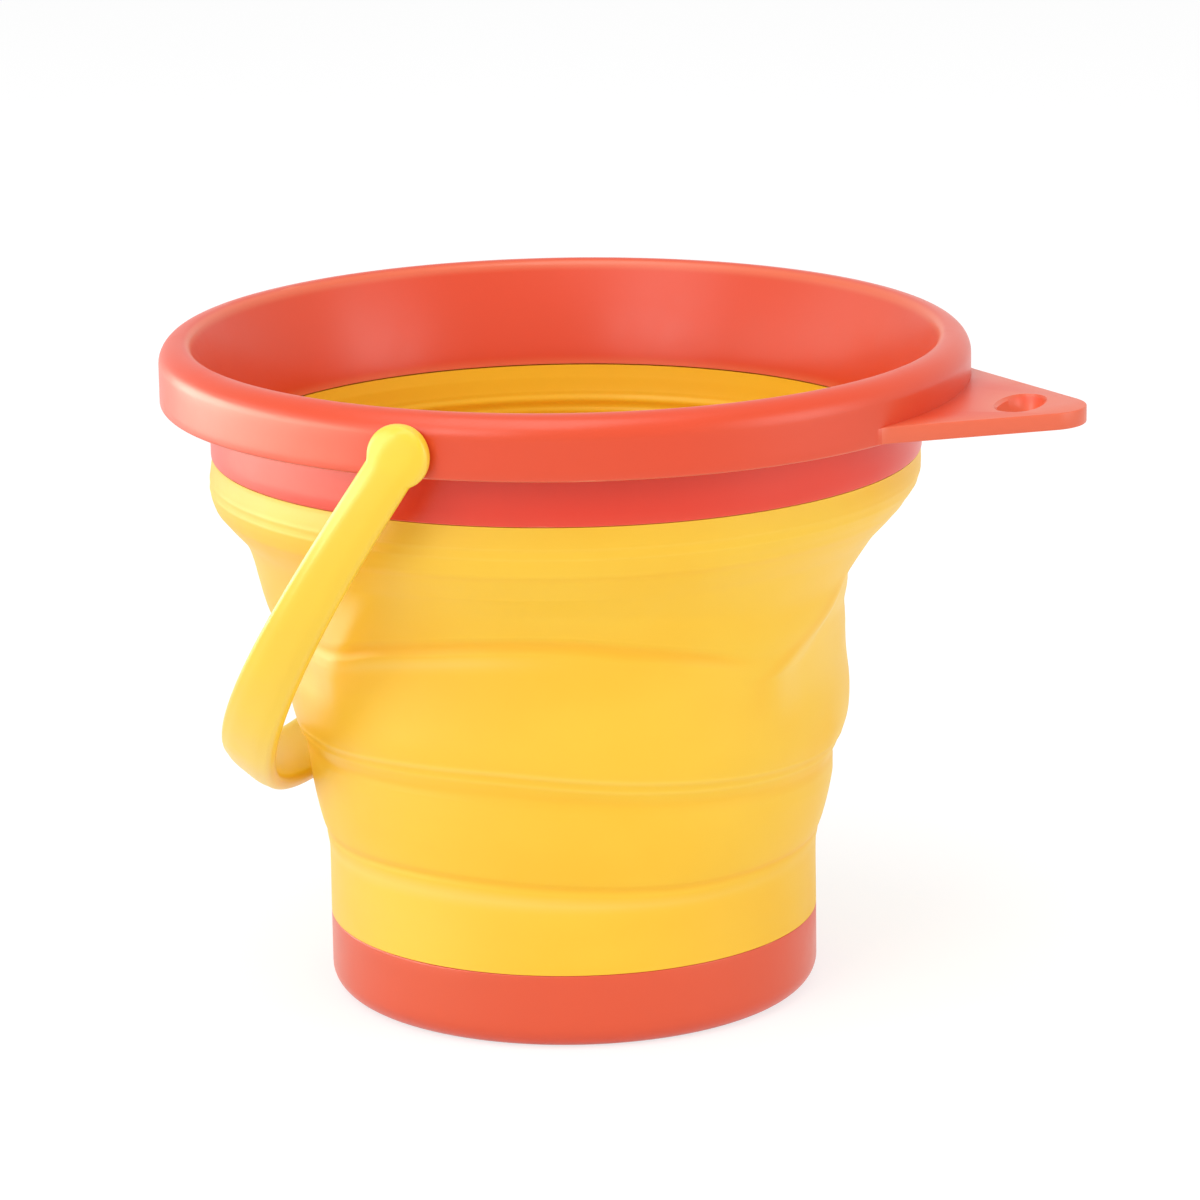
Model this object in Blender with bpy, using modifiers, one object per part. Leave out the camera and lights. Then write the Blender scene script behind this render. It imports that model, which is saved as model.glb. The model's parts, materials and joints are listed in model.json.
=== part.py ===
"""Collapsible pail: a red rim with a hanging tab, a pleated yellow wall, a red base cup and a yellow bail.

Metres, +Z up. The origin is the centre of the underside. +X points at the hanging tab, and the bail turns
about an axis along Y. The wall is one moulding on the real pail, split here where it folds.
"""
import math

import bmesh
import bpy

mm = 0.001

# Driving sizes of the whole pail
rim_outer_radius = 90.0 * mm
base_outer_radius = 55.1 * mm
middle_bottom_radius = 62.3 * mm
middle_top_radius = 63.9 * mm
cup_height = 17.2 * mm
base_band_height = 19.8 * mm
lower_fold_height = 27.0 * mm
middle_band_height = 25.0 * mm
upper_fold_height = 24.0 * mm
top_band_height = 10.7 * mm
collar_height = 12.2 * mm
skirt_height = 13.6 * mm
clearance = 0.3 * mm
round_steps = 48
small_round_steps = 20

# Rim
rim_wall = 2.0 * mm
channel_width = 8.9 * mm
collar_wall = 1.8 * mm
lip_outer_round = 4.9 * mm
lip_inner_round = 3.2 * mm
skirt_edge_round = 0.6 * mm

# Hanging tab
tab_thickness = 3.7 * mm
tab_reach = 29.6 * mm
tab_tip_round = 10.0 * mm
tab_root_round = 8.0 * mm
tab_edge_round = 0.5 * mm
tab_half_angle = math.radians(37.3)
tab_lift = 0.2 * mm
slot_length = 17.5 * mm
slot_width = 9.0 * mm
slot_from_rim = 15.2 * mm

# Wall
band_wall = 2.2 * mm
fold_wall = 1.4 * mm
tongue_wall = 1.6 * mm
tongue_height = 2.0 * mm
flush_step = 0.2 * mm

# Base cup
floor_wall = 2.2 * mm
foot_recess = 1.0 * mm
foot_ring_width = 4.2 * mm
foot_pad_radius = 6.0 * mm
foot_slope = 0.6 * mm
cup_corner_round = 5.0 * mm
cup_inner_round = 2.5 * mm
cup_wall = 2.2 * mm
cup_tongue_height = 8.5 * mm
cup_edge_round = 0.3 * mm

# Bail
bail_reach = 114.2 * mm
bail_width = 11.7 * mm
bail_thickness = 3.2 * mm
bail_crown = 0.5 * mm
bail_edge_round = 1.1 * mm
bail_side_gap = 0.65 * mm
bail_rest_gap = 0.5 * mm
bail_squareness_share = 0.083
grip_growth_share = 0.23
pivot_above_skirt_edge = 5.7 * mm
eye_radius = 6.3 * mm
eye_dome = 1.5 * mm
eye_edge_round = 0.8 * mm
pin_radius = 3.0 * mm
pin_head_overhang = 0.9 * mm
pin_head_length = 2.4 * mm
pin_end_play = 0.6 * mm
pin_slot_width = 1.2 * mm
bail_points = 49

# How the wall widens: share of the zone's height, share of the way out from foot to head radius
lower_fold_shares = ((0.0, 0.0), (0.2, 0.24), (0.36, 0.45), (0.7, 0.57), (0.86, 0.76), (1.0, 1.0))
upper_fold_shares = ((0.0, 0.0), (0.27, 0.13), (0.55, 0.33), (0.75, 0.60), (1.0, 1.0))
top_band_shares = ((0.0, 0.0), (0.2, 0.55), (0.5, 0.92), (1.0, 1.0))
straight_shares = ((0.0, 0.0), (1.0, 1.0))
top_band_flare_share = 0.12
base_band_ease_share = 0.2
tongue_taper_share = 0.4
flare_steps = 4
fold_steps = 7
band_steps = 1
arc_steps = 4
small_arc_steps = 2
sharp_angle = math.radians(35)
angle_step = math.radians(0.01)

# Colours from the photograph, linear
red = (0.80, 0.095, 0.050, 1.0)
yellow = (0.93, 0.52, 0.045, 1.0)
lemon = (0.96, 0.66, 0.085, 1.0)

# Heights and radii that follow
base_band_top = cup_height + base_band_height
lower_fold_top = base_band_top + lower_fold_height
middle_band_top = lower_fold_top + middle_band_height
upper_fold_top = middle_band_top + upper_fold_height
collar_bottom = upper_fold_top + top_band_height
skirt_bottom = collar_bottom + collar_height
rim_top = skirt_bottom + skirt_height
skirt_inner_radius = rim_outer_radius - rim_wall
collar_radius = skirt_inner_radius - channel_width
collar_inner_radius = collar_radius - collar_wall
tongue_radius = collar_inner_radius - clearance
inner_wall_radius = tongue_radius - tongue_wall
wall_top_radius = collar_radius - flush_step
fold_head_radius = wall_top_radius - top_band_flare_share * (wall_top_radius - middle_top_radius)
pivot_height = skirt_bottom + pivot_above_skirt_edge
hole_radius = pin_radius + clearance
bail_half_span = rim_outer_radius + bail_side_gap + bail_thickness / 2


def clear_scene():
    for old in list(bpy.data.objects):
        bpy.data.objects.remove(old, do_unlink=True)


def new_collection(name):
    collection = bpy.data.collections.new(name)
    bpy.context.scene.collection.children.link(collection)
    return collection


def plastic(name, colour, roughness):
    material = bpy.data.materials.new(name)
    material.use_nodes = True
    shader = material.node_tree.nodes["Principled BSDF"]
    shader.inputs["Base Color"].default_value = colour
    shader.inputs["Roughness"].default_value = roughness
    shader.inputs["Metallic"].default_value = 0.0
    return material


def place(thing, collection, material=None):
    collection.objects.link(thing)
    if material:
        thing.data.materials.append(material)
    return thing


def arc(centre_radius, centre_height, radius, start, end, steps=arc_steps):
    """Points on an arc in the profile's plane, from start to end degrees, both ends included."""
    points = []
    for step in range(steps + 1):
        angle = math.radians(start + (end - start) * step / steps)
        points.append((centre_radius + radius * math.cos(angle), centre_height + radius * math.sin(angle)))
    return points


def smooth(share):
    return share * share * (3 - 2 * share)


def eased_between(shares, share):
    """The value at one share of the way through a table of shares, on a curve with no kinks."""
    places = [place_share for place_share, _ in shares]
    values = [value for _, value in shares]
    last = len(shares) - 1
    slopes = []
    for i in range(last + 1):
        before = max(i - 1, 0)
        after = min(i + 1, last)
        slopes.append((values[after] - values[before]) / (places[after] - places[before]))
    span = next(i for i in range(last) if share <= places[i + 1] or i == last - 1)
    width = places[span + 1] - places[span]
    t = (share - places[span]) / width
    rise = values[span + 1] - values[span]
    curve = smooth(t) * rise + values[span]
    curve += t * (1 - t) * (1 - t) * slopes[span] * width
    return curve - t * t * (1 - t) * slopes[span + 1] * width


def turned(name, outline, collection, material=None, steps=round_steps, closed=True):
    """A turned solid. The outline runs down the outer side and back up the inner side."""
    mesh = bpy.data.meshes.new(name)
    count = len(outline)
    edges = [(i, i + 1) for i in range(count - 1)]
    if closed:
        edges.append((count - 1, 0))
    mesh.from_pydata([(radius, 0.0, height) for radius, height in outline], edges, [])
    thing = place(bpy.data.objects.new(name, mesh), collection, material)
    screw = thing.modifiers.new("turn", "SCREW")
    screw.axis = "Z"
    screw.steps = steps
    screw.render_steps = steps
    screw.use_merge_vertices = True
    screw.merge_threshold = clearance / steps
    screw.use_smooth_shade = True
    return thing


def as_mesh(thing, collection, material=None):
    """Replaces an object by the mesh that its modifiers or its curve make, welded."""
    evaluated = thing.evaluated_get(bpy.context.evaluated_depsgraph_get())
    mesh = bpy.data.meshes.new_from_object(evaluated)
    welded = bmesh.new()
    welded.from_mesh(mesh)
    bmesh.ops.remove_doubles(welded, verts=welded.verts, dist=clearance / round_steps)
    bmesh.ops.recalc_face_normals(welded, faces=welded.faces)
    welded.to_mesh(mesh)
    welded.free()
    name = thing.name
    matrix = thing.matrix_world.copy()
    bpy.data.objects.remove(thing, do_unlink=True)
    solid = bpy.data.objects.new(name, mesh)
    solid.matrix_world = matrix
    mesh.materials.clear()
    return place(solid, collection, material)


def boolean(thing, operation, other):
    modifier = thing.modifiers.new(operation.lower(), "BOOLEAN")
    modifier.operation = operation
    modifier.object = other
    modifier.solver = "EXACT"


def make_cutter(thing):
    thing.hide_render = True
    thing.display_type = "WIRE"
    return thing


def rim_outline():
    lip_height = rim_top - lip_outer_round
    lip_radius = rim_outer_radius - lip_outer_round
    inner_lip_height = rim_top - lip_inner_round
    outer = arc(lip_radius, lip_height, lip_outer_round, 90, 0)
    edge_height = skirt_bottom + skirt_edge_round
    outer_edge = rim_outer_radius - skirt_edge_round
    inner_edge = skirt_inner_radius + skirt_edge_round
    outer += arc(outer_edge, edge_height, skirt_edge_round, 0, -90, small_arc_steps)
    outer += arc(inner_edge, edge_height, skirt_edge_round, -90, -180, small_arc_steps)
    roof = arc(lip_radius, lip_height, lip_outer_round - rim_wall, 0, 90)
    collar_side = []
    inner_side = []
    underside_radius = lip_radius - lip_inner_round + rim_wall
    mouth_radius = lip_radius - lip_inner_round
    flare_start = collar_radius - rim_wall
    for step in range(flare_steps + 1):
        share = step / flare_steps
        height = skirt_bottom + (inner_lip_height - skirt_bottom) * share
        collar_side.append((collar_radius + (underside_radius - collar_radius) * smooth(share), height))
        inner_side.append((flare_start + (mouth_radius - flare_start) * smooth(share), height))
    ledge = collar_bottom + tongue_height + clearance
    foot = [(collar_radius, collar_bottom), (collar_inner_radius, collar_bottom)]
    foot += [(collar_inner_radius, ledge), (inner_wall_radius, ledge)]
    lip_inside = arc(lip_radius, inner_lip_height, lip_inner_round, 180, 90)
    return outer + roof + collar_side[::-1] + foot + inner_side + lip_inside[1:-1]


def tab_outline():
    """The tab's edge in plan, from its root on the +Y side round the tip to the other root."""
    slant = math.sin(tab_half_angle)
    lean = math.cos(tab_half_angle)
    tip_centre = rim_outer_radius + tab_reach - tab_tip_round
    edge_distance = tip_centre * slant + tab_tip_round
    fillet_distance = edge_distance + tab_root_round
    fillet_orbit = rim_outer_radius + tab_root_round
    along = math.sqrt(fillet_orbit ** 2 - fillet_distance ** 2)
    fillet_x = fillet_distance * slant + along * lean
    fillet_y = fillet_distance * lean - along * slant
    half = []
    start = math.atan2(-fillet_y, -fillet_x)
    end = math.atan2(-lean, -slant)
    for step in range(arc_steps + 1):
        angle = start + (end - start) * step / arc_steps
        across = tab_root_round * math.sin(angle)
        half.append((fillet_x + tab_root_round * math.cos(angle), fillet_y + across))
    for step in range(arc_steps + 1):
        angle = (math.pi / 2 - tab_half_angle) * (1 - step / arc_steps)
        half.append((tip_centre + tab_tip_round * math.cos(angle), tab_tip_round * math.sin(angle)))
    mirrored = [(x, -y) for x, y in half[-2::-1]]
    root_radius = rim_outer_radius - rim_wall / 2
    root_angle = math.atan2(half[0][1], half[0][0])
    root = []
    for step in range(arc_steps + 1):
        angle = root_angle * (2 * step / arc_steps - 1)
        root.append((root_radius * math.cos(angle), root_radius * math.sin(angle)))
    return half + mirrored + root


def slot_outline():
    centre = rim_outer_radius + slot_from_rim
    run = (slot_length - slot_width) / 2
    points = []
    for side in (1, -1):
        for step in range(2 * arc_steps + 1):
            angle = math.pi * step / (2 * arc_steps)
            across = slot_width / 2 * math.cos(angle) * side
            points.append((centre + across, side * (run + slot_width / 2 * math.sin(angle))))
    return points


def flat_plate(name, outlines, thickness, edge_round, middle_height, collection):
    """A plate with rounded edges from flat outlines; an outline inside another is a hole."""
    curve = bpy.data.curves.new(name, "CURVE")
    curve.dimensions = "2D"
    curve.fill_mode = "BOTH"
    curve.extrude = thickness / 2 - edge_round
    curve.bevel_depth = edge_round
    curve.bevel_resolution = 0
    curve.offset = -edge_round
    for outline in outlines:
        spline = curve.splines.new("POLY")
        spline.points.add(len(outline) - 1)
        spline.use_cyclic_u = True
        for point, (x, y) in zip(spline.points, outline):
            point.co = (x, y, 0.0, 1.0)
    thing = bpy.data.objects.new(name, curve)
    collection.objects.link(thing)
    thing.location = (0.0, 0.0, middle_height)
    bpy.context.view_layer.update()
    return as_mesh(thing, collection)


def make_rim(parts, cutters, material):
    rim = turned("rim", rim_outline(), parts, material)
    rim = as_mesh(rim, parts, material)
    tab_height = skirt_bottom + tab_lift + tab_thickness / 2
    tab = flat_plate("tab_plate", [tab_outline(), slot_outline()], tab_thickness, tab_edge_round,
                     tab_height, cutters)
    boolean(rim, "UNION", make_cutter(tab))
    for side in (-1, 1):
        middle = (rim_outer_radius - rim_wall / 2) * side
        bpy.ops.mesh.primitive_cylinder_add(vertices=small_round_steps, radius=hole_radius,
                                            depth=rim_wall * 2, location=(0.0, middle, pivot_height),
                                            rotation=(math.pi / 2, 0.0, 0.0))
        hole = bpy.context.object
        hole.name = "pin_hole_cutter"
        for home in list(hole.users_collection):
            home.objects.unlink(hole)
        cutters.objects.link(hole)
        boolean(rim, "DIFFERENCE", make_cutter(hole))
    bpy.context.view_layer.update()
    rim = as_mesh(rim, parts, material)
    rim.data.shade_smooth()
    rim.data.set_sharp_from_angle(angle=sharp_angle)
    return rim


def make_cup(parts, material):
    inner_radius = base_outer_radius - cup_wall - clearance - tongue_wall - clearance
    pocket_radius = base_outer_radius - cup_wall
    floor_top = foot_recess + floor_wall
    pocket_bottom = cup_height - cup_tongue_height
    ring_outer = base_outer_radius - cup_corner_round
    ring_inner = ring_outer - foot_ring_width
    outline = [(0.0, floor_top)]
    outline += arc(inner_radius - cup_inner_round, floor_top + cup_inner_round, cup_inner_round, -90, 0)
    outline += [(inner_radius, pocket_bottom), (pocket_radius, pocket_bottom)]
    outline += [(pocket_radius, cup_height), (base_outer_radius - cup_edge_round, cup_height)]
    outline += [(base_outer_radius, cup_height - cup_edge_round)]
    outline += arc(ring_outer, cup_corner_round, cup_corner_round, 0, -90)
    outline += [(ring_inner, 0.0), (ring_inner - foot_slope, foot_recess)]
    outline += [(foot_pad_radius + foot_slope, foot_recess), (foot_pad_radius, 0.0), (0.0, 0.0)]
    cup = turned("base_cup", outline, parts, material, closed=False)
    return as_mesh(cup, parts, material)


def shell_outline(stations, thickness_low, thickness_high):
    """A closed outline from (radius, height) stations listed from the bottom up, with an inner side."""
    low = stations[0][1]
    high = stations[-1][1]
    inner = []
    for radius, height in stations:
        share = (height - low) / (high - low)
        inner.append((radius - thickness_low + (thickness_low - thickness_high) * share, height))
    return stations[::-1] + inner


def fold_stations(bottom, height, foot_radius, head_radius, shares, steps=fold_steps):
    low = bottom + clearance / 2
    high = bottom + height - clearance / 2
    stations = []
    for step in range(steps + 1):
        share = step / steps
        out = eased_between(shares, share)
        stations.append((foot_radius + (head_radius - foot_radius) * out, low + (high - low) * share))
    return stations


def make_base_band(parts, material):
    tongue_outer = base_outer_radius - cup_wall - clearance
    tongue_inner = tongue_outer - tongue_wall
    tongue_bottom = cup_height - cup_tongue_height + clearance
    bottom = cup_height + clearance
    top = base_band_top - clearance / 2
    ease = bottom + (top - bottom) * base_band_ease_share
    inner = base_outer_radius - band_wall
    outline = [(base_outer_radius, top), (base_outer_radius, bottom), (tongue_outer, bottom)]
    outline += [(tongue_outer, tongue_bottom), (tongue_inner, tongue_bottom), (tongue_inner, bottom)]
    outline += [(inner, ease), (inner, top)]
    return as_mesh(turned("wall_base_band", outline, parts, material), parts, material)


def make_lower_fold(parts, material):
    stations = fold_stations(base_band_top, lower_fold_height, base_outer_radius, middle_bottom_radius,
                             lower_fold_shares)
    outline = shell_outline(stations, fold_wall, fold_wall)
    return as_mesh(turned("wall_lower_fold", outline, parts, material), parts, material)


def make_middle_band(parts, material):
    stations = fold_stations(lower_fold_top, middle_band_height, middle_bottom_radius, middle_top_radius,
                             straight_shares, band_steps)
    outline = shell_outline(stations, band_wall, band_wall)
    return as_mesh(turned("wall_middle_band", outline, parts, material), parts, material)


def make_upper_fold(parts, material):
    stations = fold_stations(middle_band_top, upper_fold_height, middle_top_radius, fold_head_radius,
                             upper_fold_shares)
    outline = shell_outline(stations, fold_wall, fold_wall)
    return as_mesh(turned("wall_upper_fold", outline, parts, material), parts, material)


def make_top_band(parts, material):
    low = upper_fold_top + clearance / 2
    high = collar_bottom - clearance
    outer = []
    for share, out in top_band_shares:
        radius = fold_head_radius + (wall_top_radius - fold_head_radius) * out
        outer.append((radius, low + (high - low) * share))
    tongue_top = collar_bottom + tongue_height
    taper = low + (high - low) * tongue_taper_share
    inner = [(fold_head_radius - band_wall, low), (inner_wall_radius - flush_step, taper)]
    inner.append((inner_wall_radius, high))
    outline = [(tongue_radius, tongue_top), (tongue_radius, high)] + outer[::-1] + inner
    outline.append((inner_wall_radius, tongue_top))
    return as_mesh(turned("wall_top_band", outline, parts, material), parts, material)


def strap_section(cutters):
    """The strap's section as a flat closed curve: X along its width, Y across it, crowned outside."""
    half_width = bail_width / 2 - bail_edge_round
    half_thick = bail_thickness / 2 - bail_edge_round
    points = []
    for side_x, side_y, start in ((1, 1, 0), (-1, 1, 90), (-1, -1, 180), (1, -1, 270)):
        points += arc(side_x * half_width, side_y * half_thick, bail_edge_round, start, start + 90,
                      small_arc_steps)
        if side_x == side_y == -1:
            points.append((0.0, -bail_thickness / 2 - bail_crown))
    curve = bpy.data.curves.new("strap_section", "CURVE")
    curve.dimensions = "2D"
    curve.fill_mode = "NONE"
    spline = curve.splines.new("POLY")
    spline.points.add(len(points) - 1)
    spline.use_cyclic_u = True
    for point, (x, y) in zip(spline.points, points):
        point.co = (x, y, 0.0, 1.0)
    section = bpy.data.objects.new("strap_section", curve)
    cutters.objects.link(section)
    return make_cutter(section)


def bail_path():
    """The strap's middle line in the bail's plane, from the eye at -Y round the grip to the eye at +Y."""
    points = []
    for step in range(bail_points):
        angle = math.pi * step / (bail_points - 1)
        across = abs(math.cos(angle)) ** (1 - bail_squareness_share)
        down = max(math.sin(angle), 0.0) ** (1 - bail_squareness_share)
        side = -1 if step < bail_points / 2 else 1
        points.append((0.0, side * bail_half_span * across, -bail_reach * down))
    return points


def wall_radius(height):
    """The pail's outer radius at a height."""
    if height > skirt_bottom:
        return rim_outer_radius
    if height > upper_fold_top:
        return collar_radius
    if height > middle_band_top:
        out = eased_between(upper_fold_shares, (height - middle_band_top) / upper_fold_height)
        return middle_top_radius + (fold_head_radius - middle_top_radius) * out
    if height > lower_fold_top:
        out = (height - lower_fold_top) / middle_band_height
        return middle_bottom_radius + (middle_top_radius - middle_bottom_radius) * out
    if height > base_band_top:
        out = eased_between(lower_fold_shares, (height - base_band_top) / lower_fold_height)
        return base_outer_radius + (middle_bottom_radius - base_outer_radius) * out
    return base_outer_radius


def strap_clears(strap, angle):
    """True if the strap, swung out by this angle, stays its rest gap away from the pail."""
    for vertex in strap.data.vertices:
        x = vertex.co.x * math.cos(angle) + vertex.co.z * math.sin(angle)
        z = vertex.co.z * math.cos(angle) - vertex.co.x * math.sin(angle)
        if math.hypot(x, vertex.co.y) < wall_radius(pivot_height + z) + bail_rest_gap:
            return False
    return True


def resting_angle(strap):
    """The angle from straight down at which the hanging strap comes to rest against the wall."""
    low = 0.0
    high = math.pi / 2
    while high - low > angle_step:
        middle = (low + high) / 2
        if strap_clears(strap, middle):
            high = middle
        else:
            low = middle
    return high


def make_eye(side, cutters):
    """Eye, pin and snap head, turned about the bail's axis; built along Z and laid on to Y."""
    inner_face = rim_outer_radius + clearance
    outer_face = bail_half_span + bail_thickness / 2 + bail_crown
    head_start = skirt_inner_radius - pin_end_play
    head_radius = pin_radius + pin_head_overhang
    head_end = head_start - pin_head_length
    outline = [(0.0, outer_face + eye_dome)]
    dome_shares = ((0.35, 0.93), (0.65, 0.72), (0.86, 0.38))
    for out, rise in dome_shares:
        outline.append((eye_radius * out, outer_face + eye_dome * rise - eye_edge_round * (1 - rise)))
    outline += [(eye_radius, outer_face - eye_edge_round), (eye_radius, inner_face)]
    outline += [(pin_radius, inner_face), (pin_radius, head_start), (head_radius, head_start)]
    outline += [(head_radius, head_start - pin_head_overhang), (pin_radius - pin_head_overhang, head_end)]
    outline.append((0.0, head_end))
    eye = turned("eye", outline, cutters, steps=small_round_steps, closed=False)
    eye = as_mesh(eye, cutters)
    eye.rotation_euler = (math.radians(90 if side < 0 else -90), 0.0, 0.0)
    return make_cutter(eye)


def make_pin_slot(side, cutters):
    """The split through the snap head that lets it close up as it is pushed in."""
    start = skirt_inner_radius
    length = (pin_end_play + pin_head_length) * 2 + clearance
    bpy.ops.mesh.primitive_cube_add(size=1.0, location=(0.0, side * start, 0.0))
    slot = bpy.context.object
    slot.name = "pin_slot_cutter"
    slot.scale = (pin_slot_width, length, (pin_radius + pin_head_overhang) * 4)
    bpy.ops.object.transform_apply(location=False, rotation=False, scale=True)
    for home in list(slot.users_collection):
        home.objects.unlink(slot)
    cutters.objects.link(slot)
    return make_cutter(slot)


def make_bail(parts, cutters, material):
    curve = bpy.data.curves.new("bail", "CURVE")
    curve.dimensions = "3D"
    curve.twist_mode = "MINIMUM"
    curve.bevel_mode = "OBJECT"
    curve.bevel_object = strap_section(cutters)
    curve.use_fill_caps = True
    spline = curve.splines.new("POLY")
    path = bail_path()
    spline.points.add(len(path) - 1)
    for step, (point, place_on_path) in enumerate(zip(spline.points, path)):
        point.co = (*place_on_path, 1.0)
        point.radius = 1 + grip_growth_share * smooth(math.sin(math.pi * step / (bail_points - 1)))
    strap = bpy.data.objects.new("bail", curve)
    parts.objects.link(strap)
    bpy.context.view_layer.update()
    bail = as_mesh(strap, parts, material)
    hang = resting_angle(bail)
    for side in (-1, 1):
        boolean(bail, "UNION", make_eye(side, cutters))
    for side in (-1, 1):
        boolean(bail, "DIFFERENCE", make_pin_slot(side, cutters))
    bpy.context.view_layer.update()
    bail = as_mesh(bail, parts, material)
    bail.location = (0.0, 0.0, pivot_height)
    bail.rotation_euler = (0.0, hang, 0.0)
    bail.data.shade_smooth()
    bail.data.set_sharp_from_angle(angle=sharp_angle)
    return bail


def main():
    clear_scene()
    parts = new_collection("collapsible_bucket")
    cutters = new_collection("cutters")
    red_plastic = plastic("red plastic", red, 0.35)
    yellow_rubber = plastic("yellow rubber", yellow, 0.55)
    lemon_plastic = plastic("lemon plastic", lemon, 0.35)
    make_cup(parts, red_plastic)
    make_base_band(parts, yellow_rubber)
    make_lower_fold(parts, yellow_rubber)
    make_middle_band(parts, yellow_rubber)
    make_upper_fold(parts, yellow_rubber)
    make_top_band(parts, yellow_rubber)
    make_rim(parts, cutters, red_plastic)
    make_bail(parts, cutters, lemon_plastic)


main()
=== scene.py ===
"""Looks of the collapsible bucket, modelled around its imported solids.

Metres, +Z up. The origin is the centre of the underside. +X points at the hanging tab, and the bail turns
about an axis along Y. Four mouldings: base cup, pleated wall, rim and bail. The wall is two meshes that meet
halfway up its middle band, because it folds below that line and again above it.
"""
import json
import math

import bpy
from mathutils import Matrix, Vector


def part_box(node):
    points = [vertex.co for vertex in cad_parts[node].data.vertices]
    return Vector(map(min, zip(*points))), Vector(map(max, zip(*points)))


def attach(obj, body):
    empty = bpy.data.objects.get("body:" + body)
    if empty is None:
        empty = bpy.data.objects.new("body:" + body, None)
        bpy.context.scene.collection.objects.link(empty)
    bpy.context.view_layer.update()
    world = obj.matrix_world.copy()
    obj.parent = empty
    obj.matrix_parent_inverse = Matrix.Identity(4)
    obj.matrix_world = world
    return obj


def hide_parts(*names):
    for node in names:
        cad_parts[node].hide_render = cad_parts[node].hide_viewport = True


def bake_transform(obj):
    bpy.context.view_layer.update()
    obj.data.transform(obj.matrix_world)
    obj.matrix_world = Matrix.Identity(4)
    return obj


bl_info = {
    "name": "Collapsible bucket",
    "version": (1, 0, 0),
    "blender": (4, 5, 0),
    "location": "3D View > Sidebar > Bucket",
    "description": "Models the finished mouldings of a collapsible bucket around its packed solids",
    "category": "Add Mesh",
}

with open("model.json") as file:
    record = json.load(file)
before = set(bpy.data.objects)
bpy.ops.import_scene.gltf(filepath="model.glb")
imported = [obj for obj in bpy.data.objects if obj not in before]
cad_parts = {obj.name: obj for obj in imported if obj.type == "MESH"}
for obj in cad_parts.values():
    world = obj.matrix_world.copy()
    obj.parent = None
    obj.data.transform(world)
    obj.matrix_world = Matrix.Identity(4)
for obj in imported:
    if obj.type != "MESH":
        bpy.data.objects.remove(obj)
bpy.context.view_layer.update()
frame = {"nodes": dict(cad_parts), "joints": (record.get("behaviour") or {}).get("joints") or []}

mm = 0.001
weld = 0.002 * mm

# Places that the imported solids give
cup_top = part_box("base_cup")[1].z
cup_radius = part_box("base_cup")[1].y
cup_wall_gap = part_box("wall_base_band")[0].z
seam = 0.1 * mm
band_foot = cup_top + seam
lower_hinge = (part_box("wall_base_band")[1].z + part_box("wall_lower_fold")[0].z) / 2
middle_bottom = (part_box("wall_lower_fold")[1].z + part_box("wall_middle_band")[0].z) / 2
middle_top = (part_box("wall_middle_band")[1].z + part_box("wall_upper_fold")[0].z) / 2
upper_hinge = (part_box("wall_upper_fold")[1].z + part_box("wall_top_band")[0].z) / 2
wall_split = (middle_bottom + middle_top) / 2
tongue_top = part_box("wall_top_band")[1].z
rim_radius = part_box("rim")[1].y
rim_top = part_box("rim")[1].z
collar_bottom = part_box("rim")[0].z
tab_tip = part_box("rim")[1].x
pivot_height = next(j for j in frame["joints"] if j["name"] == "bail_swing")["pos_m"][2]

# Fits between the mouldings
cup_wall = 2.2 * mm
tongue_wall = 1.6 * mm
tongue_gap = 0.3 * mm
pin_gap = 0.3 * mm

# The photograph's view
view_azimuth = math.radians(21.0)
view_elevation = math.radians(14.45)
view_roll = math.radians(-0.88)
view_distance = 1.229
view_target_right = 6.96 * mm
view_target_height = 87.64 * mm
view_lens = 164.2
view_sensor_width = 36.0
front_angle = view_azimuth - math.pi / 2
right_angle = view_azimuth

# Fineness of the meshes
rim_turn_steps = 256
wall_turn_steps = 224
cup_turn_steps = 192
eye_turn_steps = 64
arc_steps = 10
strap_stations = 145


def length(name, description, value):
    return bpy.props.FloatProperty(name=name, description=description, default=value, min=0.0, unit="LENGTH",
                                   precision=5)


def colour(name, description, value):
    return bpy.props.FloatVectorProperty(name=name, description=description, default=value, size=4, min=0.0,
                                         max=1.0, subtype="COLOR")


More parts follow.
